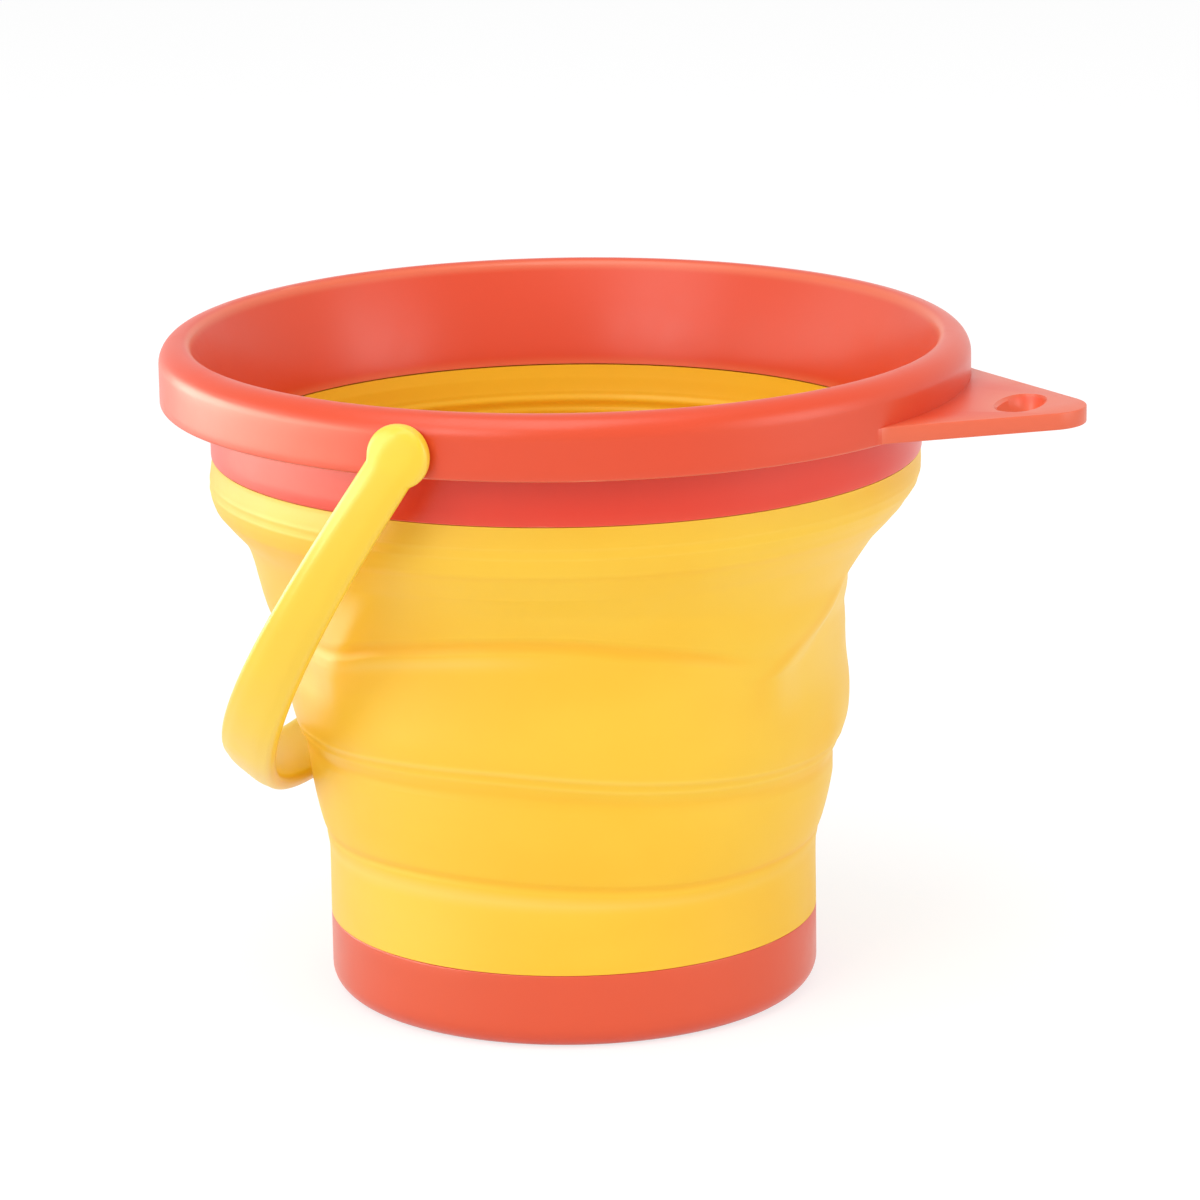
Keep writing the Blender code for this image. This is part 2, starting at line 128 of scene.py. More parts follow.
class BucketSizes(bpy.types.PropertyGroup):
    """Sizes of the four mouldings."""
    rim_wall: length("Rim wall", "Thickness of the lip and the skirt", 2.0 * mm)
    lip_round: length("Lip round", "Outer radius of the rolled lip", 4.9 * mm)
    mouth_round: length("Mouth round", "Radius of the lip's inner edge", 2.4 * mm)
    skirt_height: length("Skirt height", "From the skirt's lower edge to the lip", 13.6 * mm)
    channel_width: length("Channel width", "Open gap between the skirt and the collar", 8.9 * mm)
    collar_wall: length("Collar wall", "Thickness of the collar over the wall's tongue", 1.8 * mm)
    tab_thickness: length("Tab thickness", "Thickness of the hanging tab", 3.7 * mm)
    tab_tip_round: length("Tab tip round", "Radius of the tab's tip", 10.0 * mm)
    tab_root_round: length("Tab root round", "Fillet between the tab and the skirt", 8.0 * mm)
    slot_length: length("Slot length", "Length of the tab's hole, across the tab", 17.5 * mm)
    slot_width: length("Slot width", "Width of the tab's hole", 9.0 * mm)
    slot_from_rim: length("Slot from rim", "From the skirt to the middle of the hole", 15.2 * mm)
    band_wall: length("Band wall", "Thickness of the wall's stiff bands", 2.2 * mm)
    fold_wall: length("Fold wall", "Thickness of the wall between two hinge lines", 1.4 * mm)
    hinge_wall: length("Hinge wall", "Thickness of the wall at its thin hinge lines", 0.6 * mm)
    front_lift: length("Front lift", "How far the creases arch up at the front and the back", 4.2 * mm)
    facet_depth: length("Facet depth", "How far the soft wall is dented beside the bail and the tab",
                        1.9 * mm)
    floor_wall: length("Floor wall", "Thickness of the cup's floor", 2.2 * mm)
    foot_recess: length("Foot recess", "Height of the floor's underside over the foot ring", 1.0 * mm)
    bail_width: length("Bail width", "Width of the strap at its ends", 10.8 * mm)
    grip_width: length("Grip width", "Width of the strap at the grip", 14.4 * mm)
    bail_thickness: length("Bail thickness", "Thickness of the strap at its ends", 3.2 * mm)
    bail_crown: length("Bail crown", "How far the strap's outer face is crowned", 0.5 * mm)
    bail_reach: length("Bail reach", "From the pivot to the middle of the grip", 114.4 * mm)
    eye_radius: length("Eye radius", "Radius of the round eye at each end of the strap", 6.9 * mm)
    pin_radius: length("Pin radius", "Radius of the snap pin", 3.0 * mm)


class BucketColours(bpy.types.PropertyGroup):
    """Colours of the mouldings and the floor, linear."""
    red: colour("Red", "Rim and base cup", (0.70, 0.062, 0.014, 1.0))
    # Deep red: faint clouds, and painted shade in the collar, the channel and the tab's hole
    cloud_and_shade_red: colour("Deep red", "Collar, channel, tab hole and faint clouds", (0.82, 0.032, 0.010, 1.0))
    # Pale red: rubbed corners, painted light on the tab and the cup's side, and a painted highlight along the
    # mouth's edge
    worn_and_lit_red: colour("Pale red", "Rubbed edges of the red mouldings, and the tab", (0.80, 0.21, 0.10, 1.0))
    yellow: colour("Yellow", "Soft wall", (0.91, 0.555, 0.026, 1.0))
    # Deep yellow: faint clouds, and painted shade in the wall's creases and steps and along its dents' edges
    cloud_and_shade_yellow: colour("Deep yellow", "Creases of the soft wall", (0.90, 0.46, 0.008, 1.0))
    # Pale yellow: painted highlights on the wall's ridges and on the dents' facets
    lit_yellow: colour("Pale yellow", "Stretched ridges of the soft wall", (0.94, 0.68, 0.16, 1.0))
    lemon: colour("Lemon", "Bail", (0.88, 0.57, 0.030, 1.0))
    # Deep lemon: faint clouds, and painted shade and yellow bounce light on the bail's inner face
    cloud_and_bounce_lemon: colour("Deep lemon", "Inner face of the bail", (0.93, 0.70, 0.004, 1.0))
    # Pale lemon: rubbed corners, and painted highlights along the bail's long edges
    worn_and_lit_lemon: colour("Pale lemon", "Rubbed edges of the bail", (0.94, 0.66, 0.15, 1.0))
    floor: colour("Floor", "Plain floor", (0.86, 0.86, 0.85, 1.0))


def smooth(share):
    """Eases a share at both ends, from 0 to 1."""
    return share * share * (3 - 2 * share)


def way(value, start, end):
    """How far a value has come from start to end, as a share that stays from 0 to 1."""
    return min(max((value - start) / (end - start), 0.0), 1.0)


def bump(place, centre, half_width):
    """1 at a centre and 0 from a half width away."""
    return smooth(max(1 - abs(place - centre) / half_width, 0.0))


def eased_between(points, place):
    """The value at a place in a table of (place, value) pairs, on a curve with no kinks."""
    if place <= points[0][0]:
        return points[0][1]
    if place >= points[-1][0]:
        return points[-1][1]
    last = len(points) - 1
    span = next(i for i in range(last) if place <= points[i + 1][0])
    slopes = []
    for i in (span, span + 1):
        before = points[max(i - 1, 0)]
        after = points[min(i + 1, last)]
        slopes.append((after[1] - before[1]) / (after[0] - before[0]))
    width = points[span + 1][0] - points[span][0]
    t = (place - points[span][0]) / width
    curve = points[span][1] + smooth(t) * (points[span + 1][1] - points[span][1])
    curve += t * (1 - t) * (1 - t) * slopes[0] * width
    return curve - t * t * (1 - t) * slopes[1] * width


def soft_ramp(share, corner=0.15):
    """From 0 to 1 in a straight line with rounded corners."""
    def bent(t):
        if t <= -corner:
            return 0.0
        if t >= corner:
            return t
        return (t + corner) ** 2 / (4 * corner)
    return bent(share) - bent(share - 1)


def arc(centre_x, centre_y, radius, start, end, steps=arc_steps):
    """Points on an arc in an outline's plane, from start to end degrees, both ends included."""
    points = []
    for step in range(steps + 1):
        angle = math.radians(start + (end - start) * step / steps)
        points.append((centre_x + radius * math.cos(angle), centre_y + radius * math.sin(angle)))
    return points


def turned_by(angle, other):
    """The signed angle from one direction to another, in degrees."""
    return math.degrees((angle - other + math.pi) % (2 * math.pi) - math.pi)


def deselect_all():
    active = bpy.context.view_layer.objects.active
    if active and active.mode != "OBJECT":
        bpy.ops.object.mode_set(mode="OBJECT")
    bpy.ops.object.select_all(action="DESELECT")


def pick(thing):
    """Makes one object the only selected and the active one."""
    deselect_all()
    thing.select_set(True)
    bpy.context.view_layer.objects.active = thing


def apply_place(thing):
    """Puts an object's place, turn and size into its mesh."""
    pick(thing)
    bpy.ops.object.transform_apply(location=True, rotation=True, scale=True)


def draw(name, points):
    """A new mesh in edit mode: one line of edges through the points, all selected."""
    deselect_all()
    bpy.ops.mesh.primitive_plane_add(size=1 * mm, location=(0.0, 0.0, 0.0))
    thing = bpy.context.object
    thing.name = name
    thing.data.name = name
    bpy.ops.object.mode_set(mode="EDIT")
    bpy.ops.mesh.select_all(action="SELECT")
    bpy.ops.mesh.merge(type="CENTER")
    here = Vector(points[0])
    bpy.ops.transform.translate(value=here)
    for point in points[1:]:
        step = Vector(point) - here
        bpy.ops.mesh.extrude_vertices_move(TRANSFORM_OT_translate={"value": step})
        here = here + step
    bpy.ops.mesh.select_all(action="SELECT")
    return thing


def turn(name, profile, steps):
    """A turned moulding from a profile of (radius, height) points."""
    thing = draw(name, [(radius, 0.0, height) for radius, height in profile])
    bpy.ops.mesh.remove_doubles(threshold=weld)
    bpy.ops.mesh.spin(steps=steps, angle=2 * math.pi, center=(0.0, 0.0, 0.0), axis=(0.0, 0.0, 1.0))
    bpy.ops.mesh.select_all(action="SELECT")
    bpy.ops.mesh.remove_doubles(threshold=weld)
    bpy.ops.mesh.normals_make_consistent(inside=False)
    bpy.ops.object.mode_set(mode="OBJECT")
    return thing


def plate(name, outline, bottom, thickness):
    """A flat plate from a closed outline of (x, y) points."""
    thing = draw(name, [(x, y, bottom) for x, y in outline] + [(*outline[0], bottom)])
    bpy.ops.mesh.remove_doubles(threshold=weld)
    bpy.ops.mesh.edge_face_add()
    bpy.ops.mesh.extrude_region_move(TRANSFORM_OT_translate={"value": (0.0, 0.0, thickness)})
    bpy.ops.mesh.select_all(action="SELECT")
    bpy.ops.mesh.normals_make_consistent(inside=False)
    bpy.ops.object.mode_set(mode="OBJECT")
    return thing


def round_edges(thing, edge_round, segments=3, square_degrees=60):
    """Rounds every edge that is nearly square."""
    bevel = thing.modifiers.new("edge", "BEVEL")
    bevel.width = edge_round
    bevel.segments = segments
    bevel.limit_method = "ANGLE"
    bevel.angle_limit = math.radians(square_degrees)
    pick(thing)
    bpy.ops.object.modifier_apply(modifier="edge")


def combine(thing, operation, other):
    """Joins or cuts one closed mesh with another, which is used up."""
    modifier = thing.modifiers.new("combine", "BOOLEAN")
    modifier.operation = operation
    modifier.object = other
    modifier.solver = "EXACT"
    pick(thing)
    bpy.ops.object.modifier_apply(modifier="combine")
    bpy.data.objects.remove(other, do_unlink=True)


def shade(thing, sharp_degrees=35):
    pick(thing)
    bpy.ops.object.shade_smooth_by_angle(angle=math.radians(sharp_degrees))


def mark(thing, shading_of):
    """Notes on each vertex its painted light (towards 1, paler) or painted shade (towards -1, deeper)."""
    painted_shading = thing.data.attributes.new("painted_shading", "FLOAT", "POINT")
    for vertex in thing.data.vertices:
        painted_shading.data[vertex.index].value = shading_of(vertex)


def coat(thing, material):
    thing.data.materials.clear()
    thing.data.materials.append(material)


# Materials

def feed(tree, socket, value):
    """Gives a socket a link from another socket, or a plain value."""
    if isinstance(value, bpy.types.NodeSocket):
        tree.links.new(value, socket)
    else:
        socket.default_value = value


def add_node(tree, kind, settings=None, **inputs):
    """A node of a kind, with plain settings and with values or links for its inputs by name."""
    node = tree.nodes.new(kind)
    for key, value in (settings or {}).items():
        setattr(node, key, value)
    for key, value in inputs.items():
        feed(tree, node.inputs[key.replace("_", " ")], value)
    return node


def calculate(tree, operation, *values):
    """The result of a math node on values or links, given in its order."""
    node = add_node(tree, "ShaderNodeMath", {"operation": operation})
    for socket, value in zip(node.inputs, values):
        feed(tree, socket, value)
    return node.outputs["Value"]


def group_of(name, inputs, outputs):
    """An empty shader node group with its sockets, its input node and its output node."""
    group = bpy.data.node_groups.new(name, "ShaderNodeTree")
    for socket_name, kind, default in inputs:
        socket = group.interface.new_socket(name=socket_name, in_out="INPUT", socket_type=kind)
        if default is not None:
            socket.default_value = default
    for socket_name, kind in outputs:
        group.interface.new_socket(name=socket_name, in_out="OUTPUT", socket_type=kind)
    return group, group.nodes.new("NodeGroupInput"), group.nodes.new("NodeGroupOutput")


def mask(tree, value, low, high):
    """A map range from low..high to 0..1, smoothed and clamped."""
    node = add_node(tree, "ShaderNodeMapRange", {"interpolation_type": "SMOOTHSTEP"}, Value=value)
    node.inputs["From Min"].default_value = low
    node.inputs["From Max"].default_value = high
    return node.outputs["Result"]


def make_grain_group():
    """Fine tool texture of a moulding as a height, and a mask of the places that hands have dulled."""
    group, given, result = group_of(
        "moulded_grain",
        [("Grain Scale", "NodeSocketFloat", 1800.0), ("Grain Depth", "NodeSocketFloat", 1.0),
         ("Handling Scale", "NodeSocketFloat", 45.0)],
        [("Height", "NodeSocketFloat"), ("Handled", "NodeSocketFloat")])
    place = add_node(group, "ShaderNodeTexCoord").outputs["Object"]
    grain = add_node(group, "ShaderNodeTexNoise", Vector=place, Scale=given.outputs["Grain Scale"],
                     Detail=3.0, Roughness=0.6)
    height = calculate(group, "MULTIPLY", grain.outputs["Fac"], given.outputs["Grain Depth"])
    dulled = add_node(group, "ShaderNodeTexNoise", Vector=place, Scale=given.outputs["Handling Scale"],
                      Detail=4.0, Roughness=0.62)
    handled = mask(group, dulled.outputs["Fac"], low=0.50, high=0.72)
    group.links.new(height, result.inputs["Height"])
    group.links.new(handled, result.inputs["Handled"])
    return group


def make_tint_group():
    """Slow clouds and flow bands of pigment in a moulding, with painted light and worn corners paler and
    painted shade deeper.
    """
    group, given, result = group_of(
        "moulded_tint",
        [("Colour", "NodeSocketColor", None), ("Deep", "NodeSocketColor", None),
         ("Pale", "NodeSocketColor", None), ("Edges", "NodeSocketFloat", 0.0),
         ("Hollows", "NodeSocketFloat", 0.0), ("Cloud Scale", "NodeSocketFloat", 22.0),
         ("Cloud Share", "NodeSocketFloat", 0.4)],
        [("Colour", "NodeSocketColor"), ("Clouds", "NodeSocketFloat")])
    place = add_node(group, "ShaderNodeTexCoord").outputs["Object"]
    clouds = add_node(group, "ShaderNodeTexNoise", Vector=place, Scale=given.outputs["Cloud Scale"],
                      Detail=3.0, Roughness=0.5)
    flattened = add_node(group, "ShaderNodeMapping", Vector=place, Scale=(0.5, 0.5, 1.8))
    bands = add_node(group, "ShaderNodeTexNoise", Vector=flattened.outputs["Vector"],
                     Scale=given.outputs["Cloud Scale"], Detail=2.0, Roughness=0.45)
    both = calculate(group, "MULTIPLY", clouds.outputs["Fac"], bands.outputs["Fac"])
    cloud = mask(group, both, low=0.16, high=0.36)
    cloud_share = calculate(group, "MULTIPLY", cloud, given.outputs["Cloud Share"])

    def layer(below, above, share):
        """One colour over another. A mix of colours takes its share at 0 and the two colours at 6 and 7."""
        mix = group.nodes.new("ShaderNodeMix")
        mix.data_type = "RGBA"
        group.links.new(share, mix.inputs[0])
        group.links.new(below, mix.inputs[6])
        group.links.new(above, mix.inputs[7])
        return mix.outputs[2]

    tinted = layer(given.outputs["Colour"], given.outputs["Deep"], cloud_share)
    # Painted shade in the deep colour, then painted light and worn corners in the pale one
    tinted = layer(tinted, given.outputs["Deep"], given.outputs["Hollows"])
    tinted = layer(tinted, given.outputs["Pale"], given.outputs["Edges"])
    group.links.new(tinted, result.inputs["Colour"])
    group.links.new(cloud, result.inputs["Clouds"])
    return group


def painted_shading_masks(tree, lightening_share, shade_share, worn_corners):
    """Masks of painted light and painted shade, from the mesh's painted shading; on hard plastic the worn
    outer corners join the painted light's mask.
    """
    painted_shading = add_node(tree, "ShaderNodeAttribute", {"attribute_name": "painted_shading"}).outputs["Fac"]
    lightness = mask(tree, painted_shading, low=0.0, high=1.0)
    shade_amount = mask(tree, painted_shading, low=0.0, high=-1.0)
    if worn_corners:
        pointiness = add_node(tree, "ShaderNodeNewGeometry").outputs["Pointiness"]
        lightness = calculate(tree, "MAXIMUM", lightness, mask(tree, pointiness, low=0.505, high=0.56))
    return calculate(tree, "MULTIPLY", lightness, lightening_share), calculate(tree, "MULTIPLY", shade_amount, shade_share)


def moulding(name, colours, groups, shares, gloss, grain_look, worn_corners):
    """A moulded plastic or elastomer: tint, grain, and gloss that changes a little over it.

    The shares are those of the clouds, of the painted light with the worn corners, and of the painted shade.
    The gloss is the roughness, then what the clouds and handling add to it. The grain's look is its scale and
    its depth.
    """
    material = bpy.data.materials.new(name)
    material.use_nodes = True
    tree = material.node_tree
    shader = tree.nodes["Principled BSDF"]
    tint, grain = groups
    plain, deep, pale = colours
    cloud_share, lightening_share, shade_share = shares
    roughness, cloud_spread, handling_spread = gloss
    grain_scale, grain_depth = grain_look
    # The pale mask holds painted light and worn corners, the deep one painted shade
    edges, painted_shade = painted_shading_masks(tree, lightening_share, shade_share, worn_corners)
    tinted = add_node(tree, "ShaderNodeGroup", {"node_tree": tint}, Colour=plain, Deep=deep, Pale=pale,
                      Cloud_Share=cloud_share, Edges=edges, Hollows=painted_shade)
    grained = add_node(tree, "ShaderNodeGroup", {"node_tree": grain}, Grain_Scale=grain_scale,
                       Grain_Depth=grain_depth)
    clouded = calculate(tree, "MULTIPLY_ADD", tinted.outputs["Clouds"], cloud_spread, roughness)
    dulled = calculate(tree, "MULTIPLY_ADD", grained.outputs["Handled"], handling_spread, clouded)
    bumped = add_node(tree, "ShaderNodeBump", Height=grained.outputs["Height"], Strength=0.35,
                      Distance=0.05 * mm)
    tree.links.new(tinted.outputs["Colour"], shader.inputs["Base Color"])
    tree.links.new(dulled, shader.inputs["Roughness"])
    tree.links.new(bumped.outputs["Normal"], shader.inputs["Normal"])


def finish_of(name):
    """One of the three finishes, which are all made the first time that one is asked for."""
    made = bpy.data.materials
    if name not in made:
        look = bpy.context.scene.bucket_colours
        groups = (make_tint_group(), make_grain_group())
        hard_gloss = (0.30, 0.06, 0.06)
        fine_grain = (1500.0, 0.5)
        moulding("red_plastic", (look.red, look.cloud_and_shade_red, look.worn_and_lit_red), groups,
                 shares=(0.10, 0.6, 0.9), gloss=hard_gloss, grain_look=fine_grain, worn_corners=True)
        moulding("yellow_elastomer", (look.yellow, look.cloud_and_shade_yellow, look.lit_yellow), groups,
                 shares=(0.35, 0.75, 0.9), gloss=(0.42, 0.08, 0.05), grain_look=(2300.0, 1.0),
                 worn_corners=False)
        moulding("lemon_plastic", (look.lemon, look.cloud_and_bounce_lemon, look.worn_and_lit_lemon), groups,
                 shares=(0.35, 0.6, 0.9), gloss=hard_gloss, grain_look=fine_grain, worn_corners=True)
    return made[name]


# Base cup

def cup_profile(sizes):
    """Out over the floor, up the inside, into the wall's pocket, down the outside and in under the foot."""
    pocket_radius = cup_radius - cup_wall
    inner_radius = pocket_radius - tongue_wall - 2 * tongue_gap
    inner_round = 2.5 * mm
    corner_round = 5.0 * mm
    edge_round = 0.3 * mm
    floor_top = sizes.foot_recess + sizes.floor_wall
    pocket_bottom = cup_top - 8.5 * mm
    side_rings = 5
    side_spacing = 2.0 * mm
    ring_outer = cup_radius - corner_round
    ring_inner = ring_outer - 4.2 * mm
    slope = 0.6 * mm
    pad_radius = 6.0 * mm
    foot_edge = 0.4 * mm
    foot_rise = foot_edge / 3
    ring_mark = 30.0 * mm
    mark_height = 0.25 * mm
    gate_radius = 1.5 * mm
    gate_depth = 0.5 * mm
    gate_shares = ((1.0, 0.0), (0.8, 1.0), (0.35, 1.0), (0.3, 0.5), (0.0, 0.4))
    points = [(0.0, floor_top), (ring_mark - 2 * mark_height, floor_top)]
    points += [(ring_mark - mark_height, floor_top + mark_height)]
    points += [(ring_mark + mark_height, floor_top + mark_height), (ring_mark + 2 * mark_height, floor_top)]
    points += arc(inner_radius - inner_round, floor_top + inner_round, inner_round, -90, 0)
    points += [(inner_radius, pocket_bottom), (pocket_radius, pocket_bottom)]
    points += arc(pocket_radius + edge_round, cup_top - edge_round, edge_round, 180, 90, steps=4)
    points += arc(cup_radius - edge_round, cup_top - edge_round, edge_round, 90, 0, steps=4)
    for step in range(1, side_rings + 1):
        points.append((cup_radius, cup_top - edge_round - step * side_spacing))
    points += arc(ring_outer, corner_round, corner_round, 0, -90, steps=12)
    points += [(ring_inner + foot_edge, 0.0), (ring_inner, foot_rise)]
    points += [(ring_inner - slope, sizes.foot_recess), (pad_radius + slope, sizes.foot_recess)]
    points += [(pad_radius, foot_rise), (pad_radius - foot_edge, 0.0)]
    points += [(gate_radius * across, gate_depth * up) for across, up in gate_shares]
    return points


def cup_painted_light(vertex):
    """The side, which stands in full light, is a little paler than the floor and the foot."""
    side_pale = 0.35
    side_start = 0.9
    return side_pale * smooth(way(math.hypot(vertex.co.x, vertex.co.y) / cup_radius, side_start, 1.0))


def make_cup():
    """The red cup under the wall: floor, low side, foot ring and pad, with a dimple where it was filled."""
    cup = turn("cup_moulding", cup_profile(bpy.context.scene.bucket_sizes), cup_turn_steps)
    shade(cup)
    coat(cup, finish_of("red_plastic"))
    mark(cup, cup_painted_light)
    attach(cup, "base")
    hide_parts("base_cup")


# Pleated wall
# In its tables heights and radii are in mm, and angles in degrees from +X towards +Y.

# Outer radius by height
outer_line = ((17.5, 55.1), (33.5, 55.1), (35.5, 55.5), (37.5, 56.1), (40.0, 56.9), (44.0, 57.9),
              (47.0, 58.5), (50.0, 59.0), (53.0, 59.35), (56.0, 60.0), (59.0, 61.0), (62.0, 61.9),
              (65.0, 62.4), (68.0, 62.6), (72.0, 62.8), (80.0, 63.2), (87.0, 63.7), (90.2, 64.1),
              (92.5, 64.75), (95.4, 65.75), (98.6, 67.0), (102.0, 68.8), (105.0, 70.8), (107.5, 72.8),
              (110.5, 75.2), (113.0, 76.8), (116.0, 77.9), (119.5, 78.5), (123.4, 78.9))
# Fine ribs and grooves on it: height, rise and half width
ribs = ((34.4, 0.18, 2.2), (36.8, -0.22, 1.2), (55.2, -0.26, 2.2), (58.0, 0.12, 0.8), (60.4, 0.17, 1.0),
        (112.2, 0.14, 1.6), (116.4, 0.10, 0.6), (118.6, 0.10, 0.6))
# How far each crease is lifted, by angle
top_lift_line = ((-180.0, -2.5), (-150.0, -3.0), (-135.0, -3.0), (-121.0, -2.7), (-110.0, 0.2),
                 (-100.0, 2.1), (-85.0, 4.0), (-70.0, 4.2), (-57.0, 2.3), (-43.0, -0.5), (-28.0, -4.0),
                 (-15.0, -3.2), (0.0, -2.4), (21.0, -2.2), (50.0, -1.5), (80.0, 1.0), (100.0, 2.8),
                 (120.0, 3.0), (140.0, 1.0), (160.0, -1.5), (180.0, -2.5))
middle_lift_line = ((-180.0, 1.0), (-140.0, 3.0), (-121.0, 3.6), (-98.0, 4.2), (-82.0, 4.0), (-69.0, 2.9),
                    (-56.0, 1.6), (-41.0, 0.3), (-22.0, -1.0), (-3.0, -1.8), (30.0, -1.6), (70.0, 0.5),
                    (110.0, 2.0), (150.0, 1.4), (180.0, 1.0))
low_lift_line = ((-180.0, 0.0), (-135.0, 0.6), (-108.0, 1.2), (-89.0, 0.9), (-72.0, 0.1), (-55.0, -0.8),
                 (-39.0, -1.4), (-10.0, -1.0), (30.0, 0.0), (180.0, 0.0))
# Heights of the still foot, the three creases and the still top, and the front lift that the lines are for
lift_places = (29.0, 35.5, 58.6, 91.0, 106.0)
drawn_lift = 4.2
# How far the wall leans out on the far side from the tab, and in on the tab's side, by height
left_out_line = ((48.0, 0.0), (60.0, 0.3), (72.0, 0.8), (82.0, 1.6), (92.0, 2.7), (98.0, 2.5), (102.0, 1.7),
                 (105.0, 1.2), (110.0, 1.6), (114.0, 1.8), (118.0, 1.2), (123.0, 0.0))
right_in_line = ((50.0, 0.0), (57.5, 0.7), (62.0, 0.2), (68.0, -0.3), (76.0, -0.3), (88.0, 0.0), (91.0, 0.1),
                 (94.0, 0.3), (96.5, 1.1), (99.5, 2.3), (104.0, 2.1), (109.0, 1.5), (113.0, 1.0),
                 (116.0, 0.0), (119.0, -0.4), (123.0, 0.0))
# How deep the two dents are and how strong their painted light and shade, and how full the front and the back
# are, each as a share by height
facet_line = ((64.0, 0.0), (72.0, 0.25), (79.0, 0.8), (86.0, 1.0), (97.0, 1.0), (106.0, 0.0))
fullness_line = ((93.0, 0.0), (102.0, 1.0), (111.0, 0.0))
# Edges of the dents beside the tab and the bail: two heights with the angle at each
right_dent_edge = ((85.0, -25.0), (105.0, 10.0))
left_dent_edge = ((85.0, -122.8), (107.0, -103.0))
# How deep the upper crease is, and how dark its painted shade is, by angle
crease_line = ((-180.0, 0.4), (-125.0, 0.6), (-112.0, 1.0), (-45.0, 1.0), (-27.0, 0.2), (20.0, 0.2),
               (90.0, 1.0), (150.0, 0.4), (180.0, 0.4))
# Painted highlights and painted shade in lines round the wall: height, half width, how much paler (or, under
# 0, darker) each is painted, and where
tint_lines = ((60.4, 1.2, 0.45, "left"), (58.0, 1.1, 0.34, "right"), (59.2, 0.6, -0.2, "all round"),
              (55.0, 3.4, -0.42, "all round"), (33.2, 3.2, 0.55, "far left"), (37.1, 2.1, -0.6, "all round"),
              (89.7, 2.9, -0.85, "crease"), (85.4, 3.4, 0.45, "beside the bail"),
              (116.4, 0.7, 0.22, "all round"), (118.6, 0.7, 0.22, "all round"),
              (111.5, 1.8, -0.25, "all round"))
# The wall's rings: the height that each zone reaches, and the spacing in it
lower_zones = ((33.0, 2.0), (44.0, 0.4), (53.0, 0.8), (63.0, 0.3), (66.0, 0.75), (wall_split / mm, 1.5))
upper_zones = ((85.0, 1.5), (98.0, 0.4), (106.0, 0.8), (114.0, 0.45), ((collar_bottom - seam) / mm, 0.4))


def outer_radius(height):
    """The wall's outer radius at a height, both in metres."""
    place = height / mm
    radius = eased_between(outer_line, place)
    for rib_height, rise, half_width in ribs:
        radius += rise * bump(place, rib_height, half_width)
    return radius * mm


def wall_thickness(height, sizes):
    """Thick bands, thinner folds, and thin hinge lines where the folds begin and end."""
    band = sizes.band_wall
    fold = sizes.fold_wall
    hinge = sizes.hinge_wall
    top = outer_radius(collar_bottom) - tongue_inner(sizes)
    hinge_start = 0.02
    hinge_end = 0.18
    fold_start = 0.34
    to_band = 2.0 * mm
    to_hinge = 1.5 * mm
    top_band_start = upper_hinge + 2.2 * mm
    top_band_end = upper_hinge + 4.5 * mm
    line = [(band_foot, band), (lower_hinge - to_hinge, band)]
    for low, high in ((lower_hinge, middle_bottom), (middle_top, upper_hinge)):
        reach = high - low
        line += [(low + hinge_start * reach, hinge), (low + hinge_end * reach, hinge)]
        line += [(low + fold_start * reach, fold), (high - fold_start * reach, fold)]
        line += [(high - hinge_end * reach, hinge), (high - hinge_start * reach, hinge)]
        line.append((high + to_band, band))
        if low == lower_hinge:
            line.append((middle_top - to_band, band))
    line += [(top_band_start, band), (top_band_end, top), (collar_bottom, top)]
    for (low, start), (high, end) in zip(line, line[1:]):
        if low <= height <= high:
            return start + (end - start) * smooth((height - low) / (high - low))
    return band


def tongue_outer(sizes):
    """Outer radius of the wall's tongue inside the collar."""
    return rim_radius - sizes.rim_wall - sizes.channel_width - sizes.collar_wall - tongue_gap


def tongue_inner(sizes):
    return tongue_outer(sizes) - tongue_wall


def lifted(height, angle, sizes):
    """How far a point of the wall at that height and angle is lifted."""
    around = turned_by(angle, 0.0)
    share = sizes.front_lift / mm / drawn_lift
    lifts = [eased_between(line, around) * share for line in (low_lift_line, middle_lift_line, top_lift_line)]
    return eased_between(list(zip(lift_places, (0.0, *lifts, 0.0))), height / mm) * mm


def past_dent_edges(place, around):
    """Degrees past the edge of the dent beside the tab, and past that of the one beside the bail."""
    angles = []
    for (low, start), (high, end) in (right_dent_edge, left_dent_edge):
        angles.append(start + (end - start) * way(place, low, high))
    return around - angles[0], angles[1] - around


def dent(past, full, fades, ends, corner=0.15):
    """From 0 at a dent's edge to 1 where it is full, and back to 0 from where it fades to where it ends."""
    return soft_ramp(past / full, corner) * smooth(way(past, ends, fades))


def shifted(height, angle, sizes):
    """How far the soft wall stands out or in there: lean, two dents, full front and back, a slow wave."""
    crease_depth = 0.38 * mm
    crease_height = 89.8
    crease_half_width = 2.6
    right_depth = 1.25
    left_depth = 0.9
    fullness = 1.0 * mm
    wave_height = 0.10 * mm
    waves_round = 5
    wave_pitch = 11.0
    wave_start = (40.0, 60.0)
    wave_end = (112.0, 102.0)
    place = height / mm
    around = turned_by(angle, 0.0)
    to_right = (1 + math.cos(angle - right_angle)) / 2
    out = eased_between(left_out_line, place) * (1 - to_right) ** 2 * mm
    out -= eased_between(right_in_line, place) * to_right ** 2 * mm
    past_right, past_left = past_dent_edges(place, around)
    dents = right_depth * dent(past_right, full=11.0, fades=15.0, ends=95.0, corner=0.08)
    dents += left_depth * dent(past_left, full=10.0, fades=14.0, ends=34.0, corner=0.08)
    out -= sizes.facet_depth * eased_between(facet_line, place) * dents
    out -= crease_depth * bump(place, crease_height, crease_half_width) * eased_between(crease_line, around)
    out += fullness * eased_between(fullness_line, place) * math.cos(angle - front_angle) ** 2
    wave = wave_height * math.sin(waves_round * angle + place / wave_pitch)
    return out + wave * way(place, *wave_start) * way(place, *wave_end)


def towards(around, direction):
    """A share by angle: 1 in a direction, and 0.3 on the side away from it."""
    middle = 0.65
    swing = 0.35
    return middle + swing * math.cos(math.radians(around - direction))


